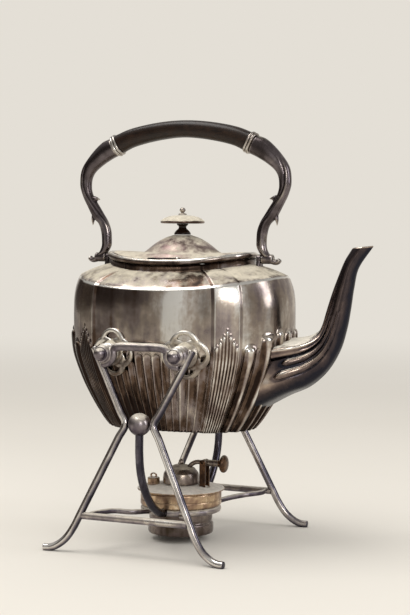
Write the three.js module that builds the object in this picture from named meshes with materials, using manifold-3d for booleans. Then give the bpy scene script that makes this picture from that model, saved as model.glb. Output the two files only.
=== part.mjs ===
// A spirit kettle on its stand: an oval silver-plated kettle with a swing
// handle, a hinged lid and an upswept spout, held by four pull-out pins in a
// stand of bent rods, with a round spirit lamp in a ring underneath.
// Millimetres, +Z up. The spout points to +X (front), the viewer's long side
// is -Y (near). The floor is z = 0 and the stand's middle is above the origin
// until the last lines, which centre the whole object over the origin.

import * as THREE from 'three'
import { mergeVertices } from 'three/addons/utils/BufferGeometryUtils.js'
import Module from 'manifold-3d'

const wasm = await Module()
wasm.setup()

// Clearances and overruns
const seat_gap = 0.3 // between pieces that touch
const run_gap = 0.4 // round a pin that turns or slides
const cut_over = 3 // how far a cutting solid runs past what it cuts
const sheet = 1.6 // plated sheet, as modelled

// Body of the kettle
const body_half_length = 88.6
const body_half_width = 60
const body_base_z = 87
const body_height = 115 // base to the shoulder's edge at the two ends
const body_floor = 2.2
const body_wall = 1.8
const body_power = 2.2 // plan is a superellipse of this power
const edge_sag = 9 // the shoulder's edge dips this much at mid length
const body_height_shares = [0, 0.04, 0.096, 0.157, 0.217, 0.287, 0.352, 0.417, 0.478, 0.548, 0.609, 0.722, 0.817, 0.913, 1]
const body_reach_shares = [0.643, 0.688, 0.739, 0.79, 0.835, 0.883, 0.92, 0.954, 0.98, 0.995, 1, 1, 0.999, 0.984, 0.944]

// Pilasters, the four raised bands at the oval's corners
const pilaster_long_x = 48 // edge beside the long panel
const pilaster_end_y = 41.5 // edge beside the end panel
const pilaster_raise = 1.1
const pilaster_bevel_share = 0.03 // of the band's width, on each side

// Flutes and reeds of the lower half
const flute_count = 13
const flute_depth = 0.9
const flute_high = 56 // over the base
const flute_top_z = body_base_z + flute_high
const flute_arch = 2.5 // how far the flutes' round tops rise over the ribs between them
const reed_count = 7
const reed_raise = 0.8
const reed_sink = 0.3
const reed_low_high = 65
const reed_low_z = body_base_z + reed_low_high
const reed_peak_over = 12
const reed_peak_z = reed_low_z + reed_peak_over
const bold_reed_raise = 1.7
const bold_reed_over = 1
const tall_reed_over = 10
const end_reed_over = 14
const bold_shares = [-0.885, -0.63, -0.38, -0.13, 0.13, 0.38, 0.63, 0.885] // reed middles, of the end panel's half
const bold_overs = [bold_reed_over, tall_reed_over, end_reed_over, end_reed_over, end_reed_over, end_reed_over, tall_reed_over, bold_reed_over]
const bold_width_share = 0.075 // a bold reed's half, of the end panel's half
const end_kept_share = 0.3 // hollows this near the end panel's middle carry on to the neck
const fluted_row_shares = [0.28, 0.64, 0.94, 1]
const plain_row_shares = [0.45, 1]
const plain_body_shares = [0, 0.12, 0.26, 0.42, 0.5, 0.6, 0.74, 1]
const inside_body_shares = [0, 0.14, 0.32, 0.58, 1]
const inside_steps = 24 // points round the plain inside
const hug_steps = 32 // points round the surface that the lugs hug
const plain_every = 5 // stations kept above the flutes
const end_flute_depth = 0.6 // hollows between the bold reeds

// Neck, gallery bead and mouth
const shoulder_long = 31.7 // from the body's end to the bead's centreline
const shoulder_wide = 21.1
const bead_half_length = body_half_length - shoulder_long
const bead_half_width = body_half_width - shoulder_wide
const bead_radius = 2.3
const bead_over = 10.3 // the bead over the shoulder's edge
const bead_z = body_base_z + body_height + bead_over // at mid length
const bead_rise = 5.7 // higher at the ends
const neck_height = 4.5
const neck_out = 0.8 // the neck's outside, beyond the bead's centreline
const ledge_reach = 5.5 // from the bead's centreline to the mouth's edge
const ledge_thick = 1.5
const ledge_drop = 0.7 // ledge top over the bead's centreline
const shoulder_row_shares = [0.04, 0.5, 1]
const shoulder_lift_shares = [0.1, 0.64, 1]
const gallery_steps = 24

// Lid
const lid_gap = 0.7 // between the lid's rim and the bead
const lid_sheet = 1.2
const lid_top_over = 20.2 // over the bead at mid length
const lid_top_z = bead_z + lid_top_over
const lid_top_radius = 7
const lid_flange = 9.4 // the dome's foot, in from the bead's centreline
const lid_dome_radius = bead_half_width - lid_flange
const lid_dome_foot_over = 5.9
const lid_dome_foot_z = bead_z + lid_dome_foot_over
const lid_steps = 22
const lid_dome_reach_shares = [0.3, 0.65, 1] // from the flat top to the dome's foot
const lid_dome_height_shares = [0.83, 0.5, 0.05]
const lid_dome_oval_share = 0.981 // width by length, at the dome's foot
const hinge_in = 2.2 // the hinge's axis, in from the bead's centreline and over it
const hinge_y = hinge_in - bead_half_width
const hinge_z = bead_z + hinge_in
const knuckle_radius = 1.9
const knuckle_half = 12.5
const lid_knuckle_half = 4.2
const hinge_pin_radius = 0.9
const hinge_pin_head = 1.9
const hinge_pin_head_long = 1.6
const hinge_sides = 8

// Knob on the lid
const knob_foot_radius = 6.8
const knob_waist_radius = 3.5
const knob_foot_high = 8.3
const disc_radius = 16.9
const disc_high = 6.2
const disc_rim = 1.2
const finial_collar = 3.3
const finial_ball = 2.4
const finial_high = 5.5
const knob_sides = 16

// Spout: lower and upper outline in the plane y = 0, from the root outwards
const spout_root_in = 22.6 // the root starts this far inside the body's end
const spout_root_x = body_half_length - spout_root_in
const spout_low_over = 15 // over the body's base
const spout_low_z = body_base_z + spout_low_over
const spout_reach = 86 // root to tip along X
const spout_rise = 123.3 // lowest point of the root to the tip
const spout_low_reach_shares = [0, 0.26, 0.453, 0.605, 0.715, 0.773, 0.806, 0.831, 0.872, 1]
const spout_low_rise_shares = [0, 0.1, 0.162, 0.255, 0.381, 0.511, 0.633, 0.754, 0.872, 1]
const spout_top_reach_shares = [0.02, 0.29, 0.44, 0.522, 0.557, 0.593, 0.64, 0.69, 0.75, 0.814]
const spout_top_rise_shares = [0.458, 0.462, 0.469, 0.495, 0.535, 0.62, 0.721, 0.813, 0.913, 0.985]
const spout_half_width = 19
const spout_width_shares = [1, 0.9, 0.72, 0.56, 0.47, 0.42, 0.38, 0.345, 0.315, 0.25]
// Half of the root's section, from the bottom up: a round belly, two ribs, a
// groove, then a slab with a crisp edge and a sloping top. It fades to an ellipse.
const root_across_shares = [0, 0.56, 0.88, 0.97, 0.93, 0.9, 0.93, 0.87, 1, 0.99, 0.5, 0]
const root_rise_shares = [-1, -0.88, -0.6, -0.38, -0.25, -0.04, 0.16, 0.37, 0.44, 0.66, 0.86, 1]
const root_rib_shares = [0, 0, 0, 0, 1, 0, 1, 0, 0, 0, 0, 0]
const root_form_shares = [1, 1, 0.9, 0.65, 0.45, 0.25, 0.1, 0, 0, 0]
const bore_points = 10
const spout_wall = 1.5
const spout_rib_raise = 1.3
const spout_rib_shares = [0, 1, 1, 0.8, 0.4, 0.1, 0, 0, 0, 0]
const mouth_over = 6

// Swing pivot of the handle
const pivot_over = 2.7 // over the bead at mid length
const pivot_z = bead_z + pivot_over
const pivot_pin_radius = 1.5
const foot_out = 8.5 // the handle's foot, out from the bead's centreline
const foot_long = 9
const foot_in_x = bead_half_length + foot_out
const foot_out_x = foot_in_x + foot_long
const foot_radius = 3.6
const ear_long = 3.2
const ear_in_x = foot_in_x - seat_gap - ear_long
const ear_half_wide = 3.4
const leaf_in_x = ear_in_x - seat_gap
const leaf_long = 20.4
const leaf_out_x = leaf_in_x + leaf_long
const leaf_half_wide = 7
const leaf_sheet = 1.5

// Handle, in the plane y = 0 when upright
const handle_rise = 104.6 // pivot to the top
const handle_top_z = pivot_z + handle_rise
const arm_swell = 14.3 // the arms' reach beyond the foot's outer end
const arm_out_x = foot_out_x + arm_swell
const grip_inset = 30.4 // middle of a collar, in from the arms' reach
const grip_half = arm_out_x - grip_inset
const grip_x_shares = [0, 0.26, 0.53, 0.78]
const grip_fall = 10
const grip_fall_shares = [0, 0.07, 0.28, 0.6]
const grip_deep = 13 // at the middle
const grip_end_deep = 14.5
const grip_half_wide = 7
const grip_end_half_wide = 6.2
const collar_wide = 4.6
const collar_over = 1.2
const collar_groove = 0.8
const collar_place_shares = [0, 0.28, 0.5, 0.72, 1]
const collar_bead_shares = [0, 1, 0, 1, 0]
const grip_points = 14
const arm_out_x_shares = [0.693, 0.77, 0.855, 0.934, 0.986, 0.999, 0.972, 0.916, 0.864, 0.807, 0.781, 0.777, 0.794, 0.825]
const arm_in_x_shares = [0.617, 0.682, 0.767, 0.838, 0.878, 0.885, 0.87, 0.828, 0.77, 0.717, 0.69, 0.688, 0.717, 0.745]
const arm_under = 2.4 // the arms' ends, below the pivot
const arm_drop = handle_rise + arm_under
const arm_out_z_shares = [0.121, 0.146, 0.206, 0.28, 0.355, 0.445, 0.527, 0.613, 0.69, 0.739, 0.813, 0.88, 0.929, 0.959]
const arm_in_z_shares = [0.243, 0.268, 0.308, 0.355, 0.411, 0.468, 0.524, 0.579, 0.65, 0.723, 0.806, 0.877, 0.935, 0.953]
const arm_half_wide = 6
const arm_wide_shares = [1, 0.97, 0.92, 0.85, 0.78, 0.73, 0.69, 0.66, 0.63, 0.6, 0.58, 0.58, 0.6, 0.62]
const arm_points = 8
const curl_radius = 2.5
const curl_reach = 5.4
const spur_thick = 3.6
const spur_long = 6 // where it leaves the arm
const spur_in_x = 71.2 // tip of the thorn
const spur_in_rise = 44.9 // over the pivot
const spur_out_x = 77 // tip of the hanging leaf
const spur_out_rise = 25.4

// Lugs on the kettle and the pins that hold it
const pin_x = 29.4
const pin_over = 59.1 // over the body's base
const pin_z = body_base_z + pin_over
const pin_radius = 2.1
const pin_head_radius = 4.6
const pin_head_long = 4.4
const pin_ring_radius = 5.6
const pin_ring_long = 1.3
const pin_sides = 10
const petal_reach = 6.6
const petal_radius = 11.4
const petal_hole_reach = 8.6
const petal_hole = 6
const petal_sides = 12
const hole_sides = 8
const dome_foot_radius = 10 // of the boss's flared foot, on the body
const dome_high = 6.4 // foot to the boss's face
const lug_sheet = 1.7
const hug_gap = 0.5 // under the lugs' soldered plates
const boss_radius = 7.2
const boss_out = 3.8 // the boss's face, beyond the body's half width
const boss_face_y = body_half_width + boss_out
const barrel_long = 11.5
const barrel_out_y = boss_face_y + seat_gap + barrel_long
const barrel_radius = 7.4
const barrel_radius_shares = [1, 1, 0.84, 0.97, 0.8]
const barrel_place_shares = [0, 0.22, 0.36, 0.54, 1]
const eye_radius = 8.7
const eye_thick = 4.4
const eye_in = 4.6 // the eye's middle, in from the barrel's outer end
const eye_mid_y = barrel_out_y - eye_in
const slot_gap = 0.7 // round the rear pins, where the kettle lifts off them

// Stand of bent rods
const rod_radius = 2.8
const rod_sides = 8
const bent_rod_steps = 13
const rod_top_over = 2.9 // over the pins
const rod_top_z = pin_z + rod_top_over
const rod_top_in = 9.2 // in from the barrel's outer end
const rod_top_y = barrel_out_y - rod_top_in
const ball_radius = 8.3
const ball_sides = 12
const ball_rows = 7
const ball_in = 4.4 // in from the barrel's outer end
const ball_y = barrel_out_y - ball_in
const ball_under = 50.4 // under the pins
const ball_z = pin_z - ball_under
const leg_bar_x = 44.5
const leg_spread = 8.4 // of the crossbar, out from the ball
const leg_bar_y = ball_y + leg_spread
const bar_z = 27.4
const foot_long_x = 27.9 // of the toe, from the crossbar's end
const foot_tip_x = leg_bar_x + foot_long_x
const foot_spread = 3.9
const foot_tip_y = leg_bar_y + foot_spread
const foot_flat = 0.5 // sliced off under each toe
const leg_knee_share = 0.12 // of the leg's fall, straight on past the crossbar
const bend_share = 0.16 // of the upper rod, rounded at the ball
const top_bar_over = 6.1 // over the pins
const top_bar_z = pin_z + top_bar_over
const top_bar_in = 12.4 // the bar's bends, in from the pins
const top_bar_half = pin_x - top_bar_in
const top_bar_radius = 2.4
const third_arm_radius = 3
const ring_under = 3.4 // under the crossbars
const ring_z = bar_z - ring_under
const ring_radius = 28.5
const ring_rod_radius = 2.4
const ring_steps = 20
const arm_reach_x = 14
const ring_arm_radius = 2
const ring_arm_sides = 6
const ring_sides = 8

// Spirit lamp
const lamp_base_z = 5
const cup_gap = 1.1 // cup to ring
const cup_radius = ring_radius - ring_rod_radius - cup_gap
const cup_step = 0.8
const cup_neck_radius = cup_radius - cup_step
const cup_neck_under = 2.5 // the cup's step, under the ring's middle
const cup_neck_z = ring_z - cup_neck_under
const cup_wall = 1.3
const band_over = 2.5 // the band, beyond the ring's middle
const band_radius = ring_radius + band_over
const band_wall = 1.4
const band_high = 11.2
const cup_short = 1.7 // the cup's rim, under the plate
const cup_top_z = ring_z + ring_rod_radius + 2 * seat_gap + band_high - cup_short
const plate_over = 2.5
const plate_radius = band_radius + plate_over
const plate_thick = 1.3
const plate_lip = 2.7
const plate_lip_wall = 1.2
const lamp_sides = 20
const wick_tube_radius = 5.8
const wick_tube_wall = 1.2
const wick_tube_high = 5.6
const wick_radius = 4
const wick_over = 2
const wick_long = 26
const snuffer_radius = 14
const snuffer_clear = 1.2 // its rim over the wick tube
const snuffer_high = 10.8
const snuffer_wall = 1.2
const snuffer_ball = 2
const snuffer_sides = 12
const lever_x = 19.6
const lever_over = 2.6 // over the snuffer's top
const lever_radius = 1.7
const lever_long = 13 // pivot to the knob
const lever_knob_x = lever_x + lever_long
const lever_knob_radius = 5.8
const lever_knob_long = 5.6
const lever_sides = 10
const fork_thick = 1.6
const fork_half_long = 3.2
const fork_inside = 2.9
const fork_pin_radius = 1
const cap_x = -20
const cap_y = -7
const cap_radius = 4.7
const cap_high = 5.2
const cap_neck_radius = 2.9
const cap_neck_high = 3
const cap_wall = 1.1
const cap_loop_radius = 2.2
const cap_loop_rod = 0.7

const full_turn = Math.PI * 2
const lift = (low, high, share) => low + (high - low) * share

// A closed solid from a geometry: shared corners merged, faces turned outwards
function solidOf(geometry) {
  const bare = geometry.clone()
  bare.deleteAttribute('normal')
  bare.deleteAttribute('uv')
  const joined = mergeVertices(bare)
  const order = joined.index.array
  const corners = joined.attributes.position.array
  const faces = []
  let volume = 0
  for (let i = 0; i < order.length; i += 3) {
    const [a, b, c] = [order[i], order[i + 1], order[i + 2]]
    if (a === b || b === c || c === a) continue
    faces.push(a, b, c)
    const [p, q, r] = [a, b, c].map((k) => new THREE.Vector3().fromArray(corners, k * 3))
    volume += p.dot(q.cross(r))
  }
  const turned = volume < 0 ? faces.reverse() : faces
  return new wasm.Manifold(
    new wasm.Mesh({
      numProp: 3,
      vertProperties: new Float32Array(corners),
      triVerts: new Uint32Array(turned),
    }),
  )
}

function geometryOf(solid) {
  const mesh = solid.getMesh()
  const geometry = new THREE.BufferGeometry()
  geometry.setAttribute('position', new THREE.BufferAttribute(new Float32Array(mesh.vertProperties), 3))
  geometry.setIndex(new THREE.BufferAttribute(new Uint32Array(mesh.triVerts), 1))
  geometry.computeVertexNormals()
  return geometry
}

// A skin through rings of points. A ring of one point is a tip, and two
// neighbouring rings may have different counts: each point carries its turn
// round the ring, from 0 to 1.
function skin(rings, closed = false) {
  const corners = []
  const starts = []
  for (const ring of rings) {
    starts.push(corners.length / 3)
    for (const p of ring) corners.push(p.x, p.y, p.z)
  }
  const faces = []
  const pairs = closed ? rings.length : rings.length - 1
  for (let k = 0; k < pairs; k++) {
    const next = (k + 1) % rings.length
    const [low, high] = [rings[k], rings[next]]
    let i = low.length > 1 ? 0 : 1
    let j = high.length > 1 ? 0 : 1
    const at = (n, index, ring) => starts[n] + (index % ring.length)
    const turn = (ring, index) =>
      index >= ring.length ? Infinity : index + 1 < ring.length ? ring[index + 1].turn : 1
    while (i < low.length || j < high.length) {
      if (turn(low, i) <= turn(high, j)) {
        faces.push(at(k, i, low), at(k, i + 1, low), at(next, j, high))
        i++
      } else {
        faces.push(at(k, i, low), at(next, j + 1, high), at(next, j, high))
        j++
      }
    }
  }
  const geometry = new THREE.BufferGeometry()
  geometry.setAttribute('position', new THREE.BufferAttribute(new Float32Array(corners), 3))
  geometry.setIndex(faces)
  return solidOf(geometry)
}

function middle(ring) {
  const p = new THREE.Vector3()
  for (const q of ring) p.add(q)
  return [p.divideScalar(ring.length)]
}

function capped(rings) {
  return skin([middle(rings[0]), ...rings, middle(rings[rings.length - 1])])
}

// A round rod along points, joined by a smooth curve
function rod(points, radius, sides = rod_sides, steps = 4 * points.length) {
  const path = new THREE.CatmullRomCurve3(points.map((p) => new THREE.Vector3(...p)), false, 'centripetal')
  return along(path, radius, sides, steps)
}

function bar(from, to, radius, sides = rod_sides) {
  const path = new THREE.LineCurve3(new THREE.Vector3(...from), new THREE.Vector3(...to))
  return along(path, radius, sides, 1)
}

function along(path, radius, sides, steps) {
  const corners = []
  for (let i = 0; i < sides; i++) {
    const a = (i / sides) * full_turn
    corners.push(new THREE.Vector2(radius * Math.cos(a), radius * Math.sin(a)))
  }
  return solidOf(
    new THREE.ExtrudeGeometry(new THREE.Shape(corners), { steps, bevelEnabled: false, extrudePath: path }),
  )
}

// A revolve round Z from a closed outline of [radius, height]
function revolve(outline, sides) {
  const points = outline.map(([r, h]) => new THREE.Vector2(r, h))
  if (outline[0][0] > 0) points.push(points[0].clone())
  return solidOf(new THREE.LatheGeometry(points, sides).rotateX(Math.PI / 2))
}

function upright(outline, x, y, sides) {
  return revolve(outline, sides).translate([x, y, 0])
}

// The same, with the outline's heights along +X or -Y
const layAlongX = (solid) => solid.rotate([0, 90, 0])
const layAlongNear = (solid) => solid.rotate([90, 0, 0])

function box(low, high) {
  const size = high.map((v, i) => v - low[i])
  const centre = high.map((v, i) => (v + low[i]) / 2)
  return solidOf(new THREE.BoxGeometry(...size).translate(...centre))
}

const mirrored = (solid, x, y) => solid.scale([x, y, 1])

// Plan of the body at a reach along X, with its outward normal. The angle
// runs from the spout's end round the far side.
function planAt(angle, reach, width, grow, z, turn) {
  const c = Math.cos(angle)
  const s = Math.sin(angle)
  const x = Math.sign(c) * Math.abs(c) ** (2 / body_power)
  const y = Math.sign(s) * Math.abs(s) ** (2 / body_power)
  const normal = new THREE.Vector2(
    (Math.sign(x) * Math.abs(x) ** (body_power - 1)) / reach,
    (Math.sign(y) * Math.abs(y) ** (body_power - 1)) / width,
  ).normalize()
  const p = new THREE.Vector3(reach * x + grow * normal.x, width * y + grow * normal.y, z)
  p.turn = turn
  return p
}

const angleOfX = (x) => Math.acos(Math.sign(x) * Math.min(1, Math.abs(x) / body_half_length) ** (body_power / 2))
const angleOfY = (y) => Math.asin(Math.sign(y) * Math.min(1, Math.abs(y) / body_half_width) ** (body_power / 2))

function reachAt(z) {
  const share = Math.min(1, Math.max(0, (z - body_base_z) / body_height))
  let k = 1
  while (body_height_shares[k] < share) k++
  const [low, high] = [body_height_shares[k - 1], body_height_shares[k]]
  return body_half_length * lift(body_reach_shares[k - 1], body_reach_shares[k], (share - low) / (high - low))
}

const widthShare = body_half_width / body_half_length
const saddle = (angle) => Math.abs(Math.cos(angle)) ** 2
const edgeZ = (angle) => body_base_z + body_height - edge_sag * (1 - saddle(angle))
const beadZ = (angle) => bead_z + bead_rise * saddle(angle)

// Stations round the body: angle, how far the surface stands out or in, the
// height where that fades, whether it is on a pilaster, and whether the plain
// rows above the flutes keep it
function stations() {
  const list = []
  const add = (angle, out, top, raised, kept = false) => list.push({ angle, out, top, raised, kept })
  const end = angleOfY(pilaster_end_y)
  const long = angleOfX(pilaster_long_x)
  const endPanel = (turned) => {
    for (const [n, share] of bold_shares.entries()) {
      const top = reed_low_z + bold_overs[n]
      const at = (s) => turned + angleOfY(pilaster_end_y * s)
      add(at(share - bold_width_share), 0, top - flute_arch, 0)
      add(at(share), bold_reed_raise, top, 0)
      add(at(share + bold_width_share), 0, top - flute_arch, 0)
      const next = bold_shares[n + 1]
      if (next === undefined) continue
      const hollow = (share + next) / 2
      const low = reed_low_z + Math.min(bold_overs[n], bold_overs[n + 1]) - flute_arch
      add(at(hollow), -end_flute_depth, low, 0, Math.abs(hollow) < end_kept_share)
    }
  }
  const pilaster = (from, to) => {
    add(from, 0, reed_low_z, 0)
    for (let i = 0; i <= 2 * reed_count; i++) {
      const share = lift(pilaster_bevel_share, 1 - pilaster_bevel_share, i / (2 * reed_count))
      const crest = i % 2 === 1
      const away = Math.abs(i / reed_count - 1)
      const top = lift(reed_peak_z, reed_low_z, away)
      add(lift(from, to, share), crest ? reed_raise : -reed_sink, crest ? top : top - flute_arch, 1)
    }
    add(to, 0, reed_low_z, 0)
  }
  const longPanel = (turned) => {
    for (let i = 0; i < flute_count; i++) {
      const at = (s) => turned + angleOfX(pilaster_long_x * (1 - (2 * (i + s)) / flute_count))
      if (i > 0) add(at(0), 0, flute_top_z, 0)
      add(at(0.5), -flute_depth, flute_top_z + flute_arch, 0)
    }
  }
  pilaster(end, long)
  longPanel(0)
  pilaster(Math.PI - long, Math.PI - end)
  endPanel(Math.PI)
  pilaster(Math.PI + end, Math.PI + long)
  longPanel(Math.PI)
  pilaster(full_turn - long, full_turn - end)
  endPanel(full_turn)
  return list
}

const round_body = stations()
const plain_round = round_body.filter((s, i) => {
  const before = round_body[(i + round_body.length - 1) % round_body.length]
  const after = round_body[(i + 1) % round_body.length]
  return s.kept || s.raised !== before.raised || s.raised !== after.raised || i % plain_every === 0
})

// Outside of the kettle's body, grown by a clearance where a neighbour is cut
function bodyOutside(grow, up = 0) {
  const first = round_body[0].angle
  const turnOf = (angle) => (angle - first) / full_turn
  const rings = []
  const at = (s, z, out) => {
    const reach = reachAt(z)
    return planAt(s.angle, reach, reach * widthShare, out + grow, z, turnOf(s.angle))
  }
  const bottom = body_base_z - grow
  rings.push(round_body.map((s) => at(s, bottom, 0.5 * s.out + s.raised * pilaster_raise)))
  for (const share of fluted_row_shares) {
    const fade = share < 1 ? 1 : 0
    rings.push(
      round_body.map((s) => at(s, lift(body_base_z, s.top, share), fade * s.out + s.raised * pilaster_raise)),
    )
  }
  for (const share of plain_row_shares) {
    rings.push(
      plain_round.map((s) => at(s, lift(s.top, edgeZ(s.angle), share), s.raised * pilaster_raise)),
    )
  }
  const neckReach = bead_half_length + neck_out
  const neckWidth = bead_half_width + neck_out
  const neckTop = (s) => beadZ(s.angle) - bead_radius - seat_gap
  shoulder_row_shares.forEach((share, n) => {
    rings.push(
      plain_round.map((s) => {
        const reach = reachAt(edgeZ(s.angle))
        const z = lift(edgeZ(s.angle), neckTop(s) - neck_height, shoulder_lift_shares[n])
        const out = s.raised * pilaster_raise * (1 - share) + grow
        return planAt(
          s.angle,
          lift(reach, neckReach, share),
          lift(reach * widthShare, neckWidth, share),
          out,
          z + grow,
          turnOf(s.angle),
        )
      }),
    )
  })
  rings.push(plain_round.map((s) => planAt(s.angle, neckReach, neckWidth, grow, neckTop(s) + up, turnOf(s.angle))))
  return capped(rings)
}

// The plain body without flutes and bands, grown or shrunk: the inside of the
// sheet, and what the lugs hug
function bodyPlain(grow, base, top_drop, open) {
  const rings = []
  const steps = open ? inside_steps : hug_steps
  const ring = (f) => {
    const points = []
    for (let i = 0; i < steps; i++) points.push(f((i / steps) * full_turn, i / steps))
    rings.push(points)
  }
  for (const share of open ? inside_body_shares : plain_body_shares) {
    ring((angle, turn) => {
      const z = lift(base, edgeZ(angle) - top_drop, share)
      const reach = reachAt(z)
      return planAt(angle, reach, reach * widthShare, grow, z, turn)
    })
  }
  const out = open ? neck_out - sheet : neck_out + grow
  const foot = (angle) => beadZ(angle) - bead_radius - seat_gap - neck_height - (open ? body_wall : -grow)
  const neck = (height) =>
    ring((angle, turn) => planAt(angle, bead_half_length + out, bead_half_width + out, 0, height(angle), turn))
  neck(foot)
  if (open) neck((angle) => beadZ(angle) + cut_over)
  return capped(rings)
}
const bodyInside = () => bodyPlain(-body_wall - flute_depth, body_base_z + body_floor, 2 * body_wall, true)
const bodyHug = (grow) => bodyPlain(grow, body_base_z - grow, -grow, false)

// Sections across a bent member that lies in the plane y = 0
function section(low, high, half, power, points, shrink = 0) {
  const centre = new THREE.Vector3((low[0] + high[0]) / 2, 0, (low[1] + high[1]) / 2)
  const up = new THREE.Vector3(high[0] - low[0], 0, high[1] - low[1])
  const tall = up.length() / 2 - shrink
  up.normalize()
  const ring = []
  for (let i = 0; i < points; i++) {
    const angle = (i / points) * full_turn
    const c = Math.cos(angle)
    const s = Math.sin(angle)
    const across = Math.sign(c) * Math.abs(c) ** (1 / power) * (half - shrink)
    const p = centre.clone().addScaledVector(up, tall * Math.sign(s) * Math.abs(s) ** (1 / power))
    p.y += across
    p.turn = i / points
    ring.push(p)
  }
  return ring
}

// A section through the spout's outside: the root's outline by its form's
// share, an ellipse for the rest
function spoutSection(low, high, half, form, rib) {
  const centre = new THREE.Vector3((low[0] + high[0]) / 2, 0, (low[1] + high[1]) / 2)
  const up = new THREE.Vector3(high[0] - low[0], 0, high[1] - low[1])
  const tall = up.length() / 2
  up.normalize()
  const last = root_rise_shares.length - 1
  const at = (n, side, turn) => {
    const angle = lift(-Math.PI / 2, Math.PI / 2, n / last)
    const across = lift(Math.cos(angle), root_across_shares[n], form) * half + rib * root_rib_shares[n]
    const p = centre.clone().addScaledVector(up, tall * lift(Math.sin(angle), root_rise_shares[n], form))
    p.y += n > 0 && n < last ? side * across : 0
    p.turn = turn
    return p
  }
  const ring = []
  for (let n = 0; n <= last; n++) ring.push(at(n, 1, n / (2 * last)))
  for (let n = last - 1; n > 0; n--) ring.push(at(n, -1, 1 - n / (2 * last)))
  return ring
}

function spoutSections(shrink, bored) {
  const rings = []
  for (let k = 0; k < spout_low_reach_shares.length; k++) {
    const low = [
      spout_root_x + spout_reach * spout_low_reach_shares[k],
      spout_low_z + spout_rise * spout_low_rise_shares[k],
    ]
    const high = [
      spout_root_x + spout_reach * spout_top_reach_shares[k],
      spout_low_z + spout_rise * spout_top_rise_shares[k],
    ]
    const half = spout_half_width * spout_width_shares[k]
    rings.push(
      bored
        ? section(low, high, half, 1, bore_points, shrink)
        : spoutSection(low, high, half, root_form_shares[k], spout_rib_raise * spout_rib_shares[k]),
    )
  }
  if (bored) {
    const last = rings[rings.length - 1]
    const ring = last.map((p) => {
      const q = p.clone()
      q.z += mouth_over
      q.x += mouth_over / 2
      q.turn = p.turn
      return q
    })
    rings.push(ring)
  }
  return rings
}

// Metals and wood
const silver = { color: 0x6f6a62, roughness: 0.32, metalness: 1 }
const dark_silver = { color: 0x3f3d42, roughness: 0.36, metalness: 1 }
const brass = { color: 0x8a7550, roughness: 0.45, metalness: 1 }
const ebony = { color: 0x1d1512, roughness: 0.5, metalness: 0 }
const cotton = { color: 0xb9ab92, roughness: 0.95, metalness: 0 }

const object = new THREE.Group()
function place(name, solid, finish, group = object) {
  const mesh = new THREE.Mesh(geometryOf(solid), new THREE.MeshStandardMaterial({ ...finish, flatShading: true }))
  mesh.name = name
  group.add(mesh)
  return mesh
}

const outside = bodyOutside(0)
const body_keep_out = bodyOutside(seat_gap)
const body_hug_inner = bodyHug(hug_gap)

// Kettle body, open at the mouth and into the spout
const spout_bore = capped(spoutSections(spout_wall, true))
place('kettle_body', outside.subtract(bodyInside()).subtract(spout_bore), silver)
place('spout', capped(spoutSections(0, false)).subtract(spout_bore).subtract(body_keep_out), dark_silver)

// Gallery: the rolled bead round the mouth with the ledge that the lid rests on
function gallery() {
  const r = bead_radius
  const half = r * Math.SQRT1_2
  const profile = [
    [-ledge_reach, ledge_drop - ledge_thick],
    [-half, -half],
    [0, -r],
    [half, -half],
    [r, 0],
    [half, half],
    [0, r],
    [-half, half],
    [-r + lid_gap / 2, ledge_drop],
    [-ledge_reach, ledge_drop],
  ]
  const rings = []
  for (const [out, up] of profile) {
    const ring = []
    for (let i = 0; i < gallery_steps; i++) {
      const angle = (i / gallery_steps) * full_turn
      ring.push(planAt(angle, bead_half_length, bead_half_width, out, beadZ(angle) + up, i / gallery_steps))
    }
    rings.push(ring)
  }
  const groove = alongX(-knuckle_half - seat_gap, knuckle_half + hinge_pin_head_long + 2 * seat_gap, knuckle_radius + seat_gap)
  return skin(rings, true).subtract(groove)
}

// A round bar on the lid hinge's axis
function alongX(from, to, radius, sides = hinge_sides) {
  return bar([from, hinge_y, hinge_z], [to, hinge_y, hinge_z], radius, sides)
}

place('gallery', gallery(), silver)
const pin_way = alongX(-knuckle_half - cut_over, knuckle_half + cut_over, hinge_pin_radius + run_gap / 2)
const knuckle = alongX(lid_knuckle_half + seat_gap, knuckle_half, knuckle_radius).subtract(pin_way)
place('hinge_knuckle_front', knuckle, silver)
place('hinge_knuckle_rear', mirrored(knuckle, -1, 1), silver)
const pin_head_end = knuckle_half + seat_gap + hinge_pin_head_long
place(
  'lid_hinge_pin',
  alongX(-knuckle_half, knuckle_half + 2 * seat_gap, hinge_pin_radius).add(
    alongX(knuckle_half + seat_gap, pin_head_end, hinge_pin_head),
  ),
  silver,
)

// Lid: a bell-shaped dome on a flat oval flange, thin, open below
function lidSkin(drop) {
  const rim_length = bead_half_length - bead_radius - lid_gap
  const rim_width = bead_half_width - bead_radius - lid_gap
  const rimZ = (angle) => beadZ(angle) + bead_radius
  const rings = []
  const ring = (reach, width, heightAt) => {
    const points = []
    for (let i = 0; i < lid_steps; i++) {
      const angle = (i / lid_steps) * full_turn
      points.push(planAt(angle, reach, width, 0, heightAt(angle) - drop, i / lid_steps))
    }
    rings.push(points)
  }
  ring(lid_top_radius, lid_top_radius, () => lid_top_z)
  lid_dome_reach_shares.forEach((share, n) => {
    const radius = lift(lid_top_radius, lid_dome_radius, share)
    ring(radius, radius * lift(1, lid_dome_oval_share, share), () =>
      lift(lid_dome_foot_z, lid_top_z, lid_dome_height_shares[n]),
    )
  })
  ring(lift(lid_dome_radius, rim_length, 0.3), lift(lid_dome_radius, rim_width, 0.45), (angle) =>
    lift(lid_dome_foot_z, rimZ(angle), 0.7),
  )
  ring(rim_length, rim_width, rimZ)
  return rings
}

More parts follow.
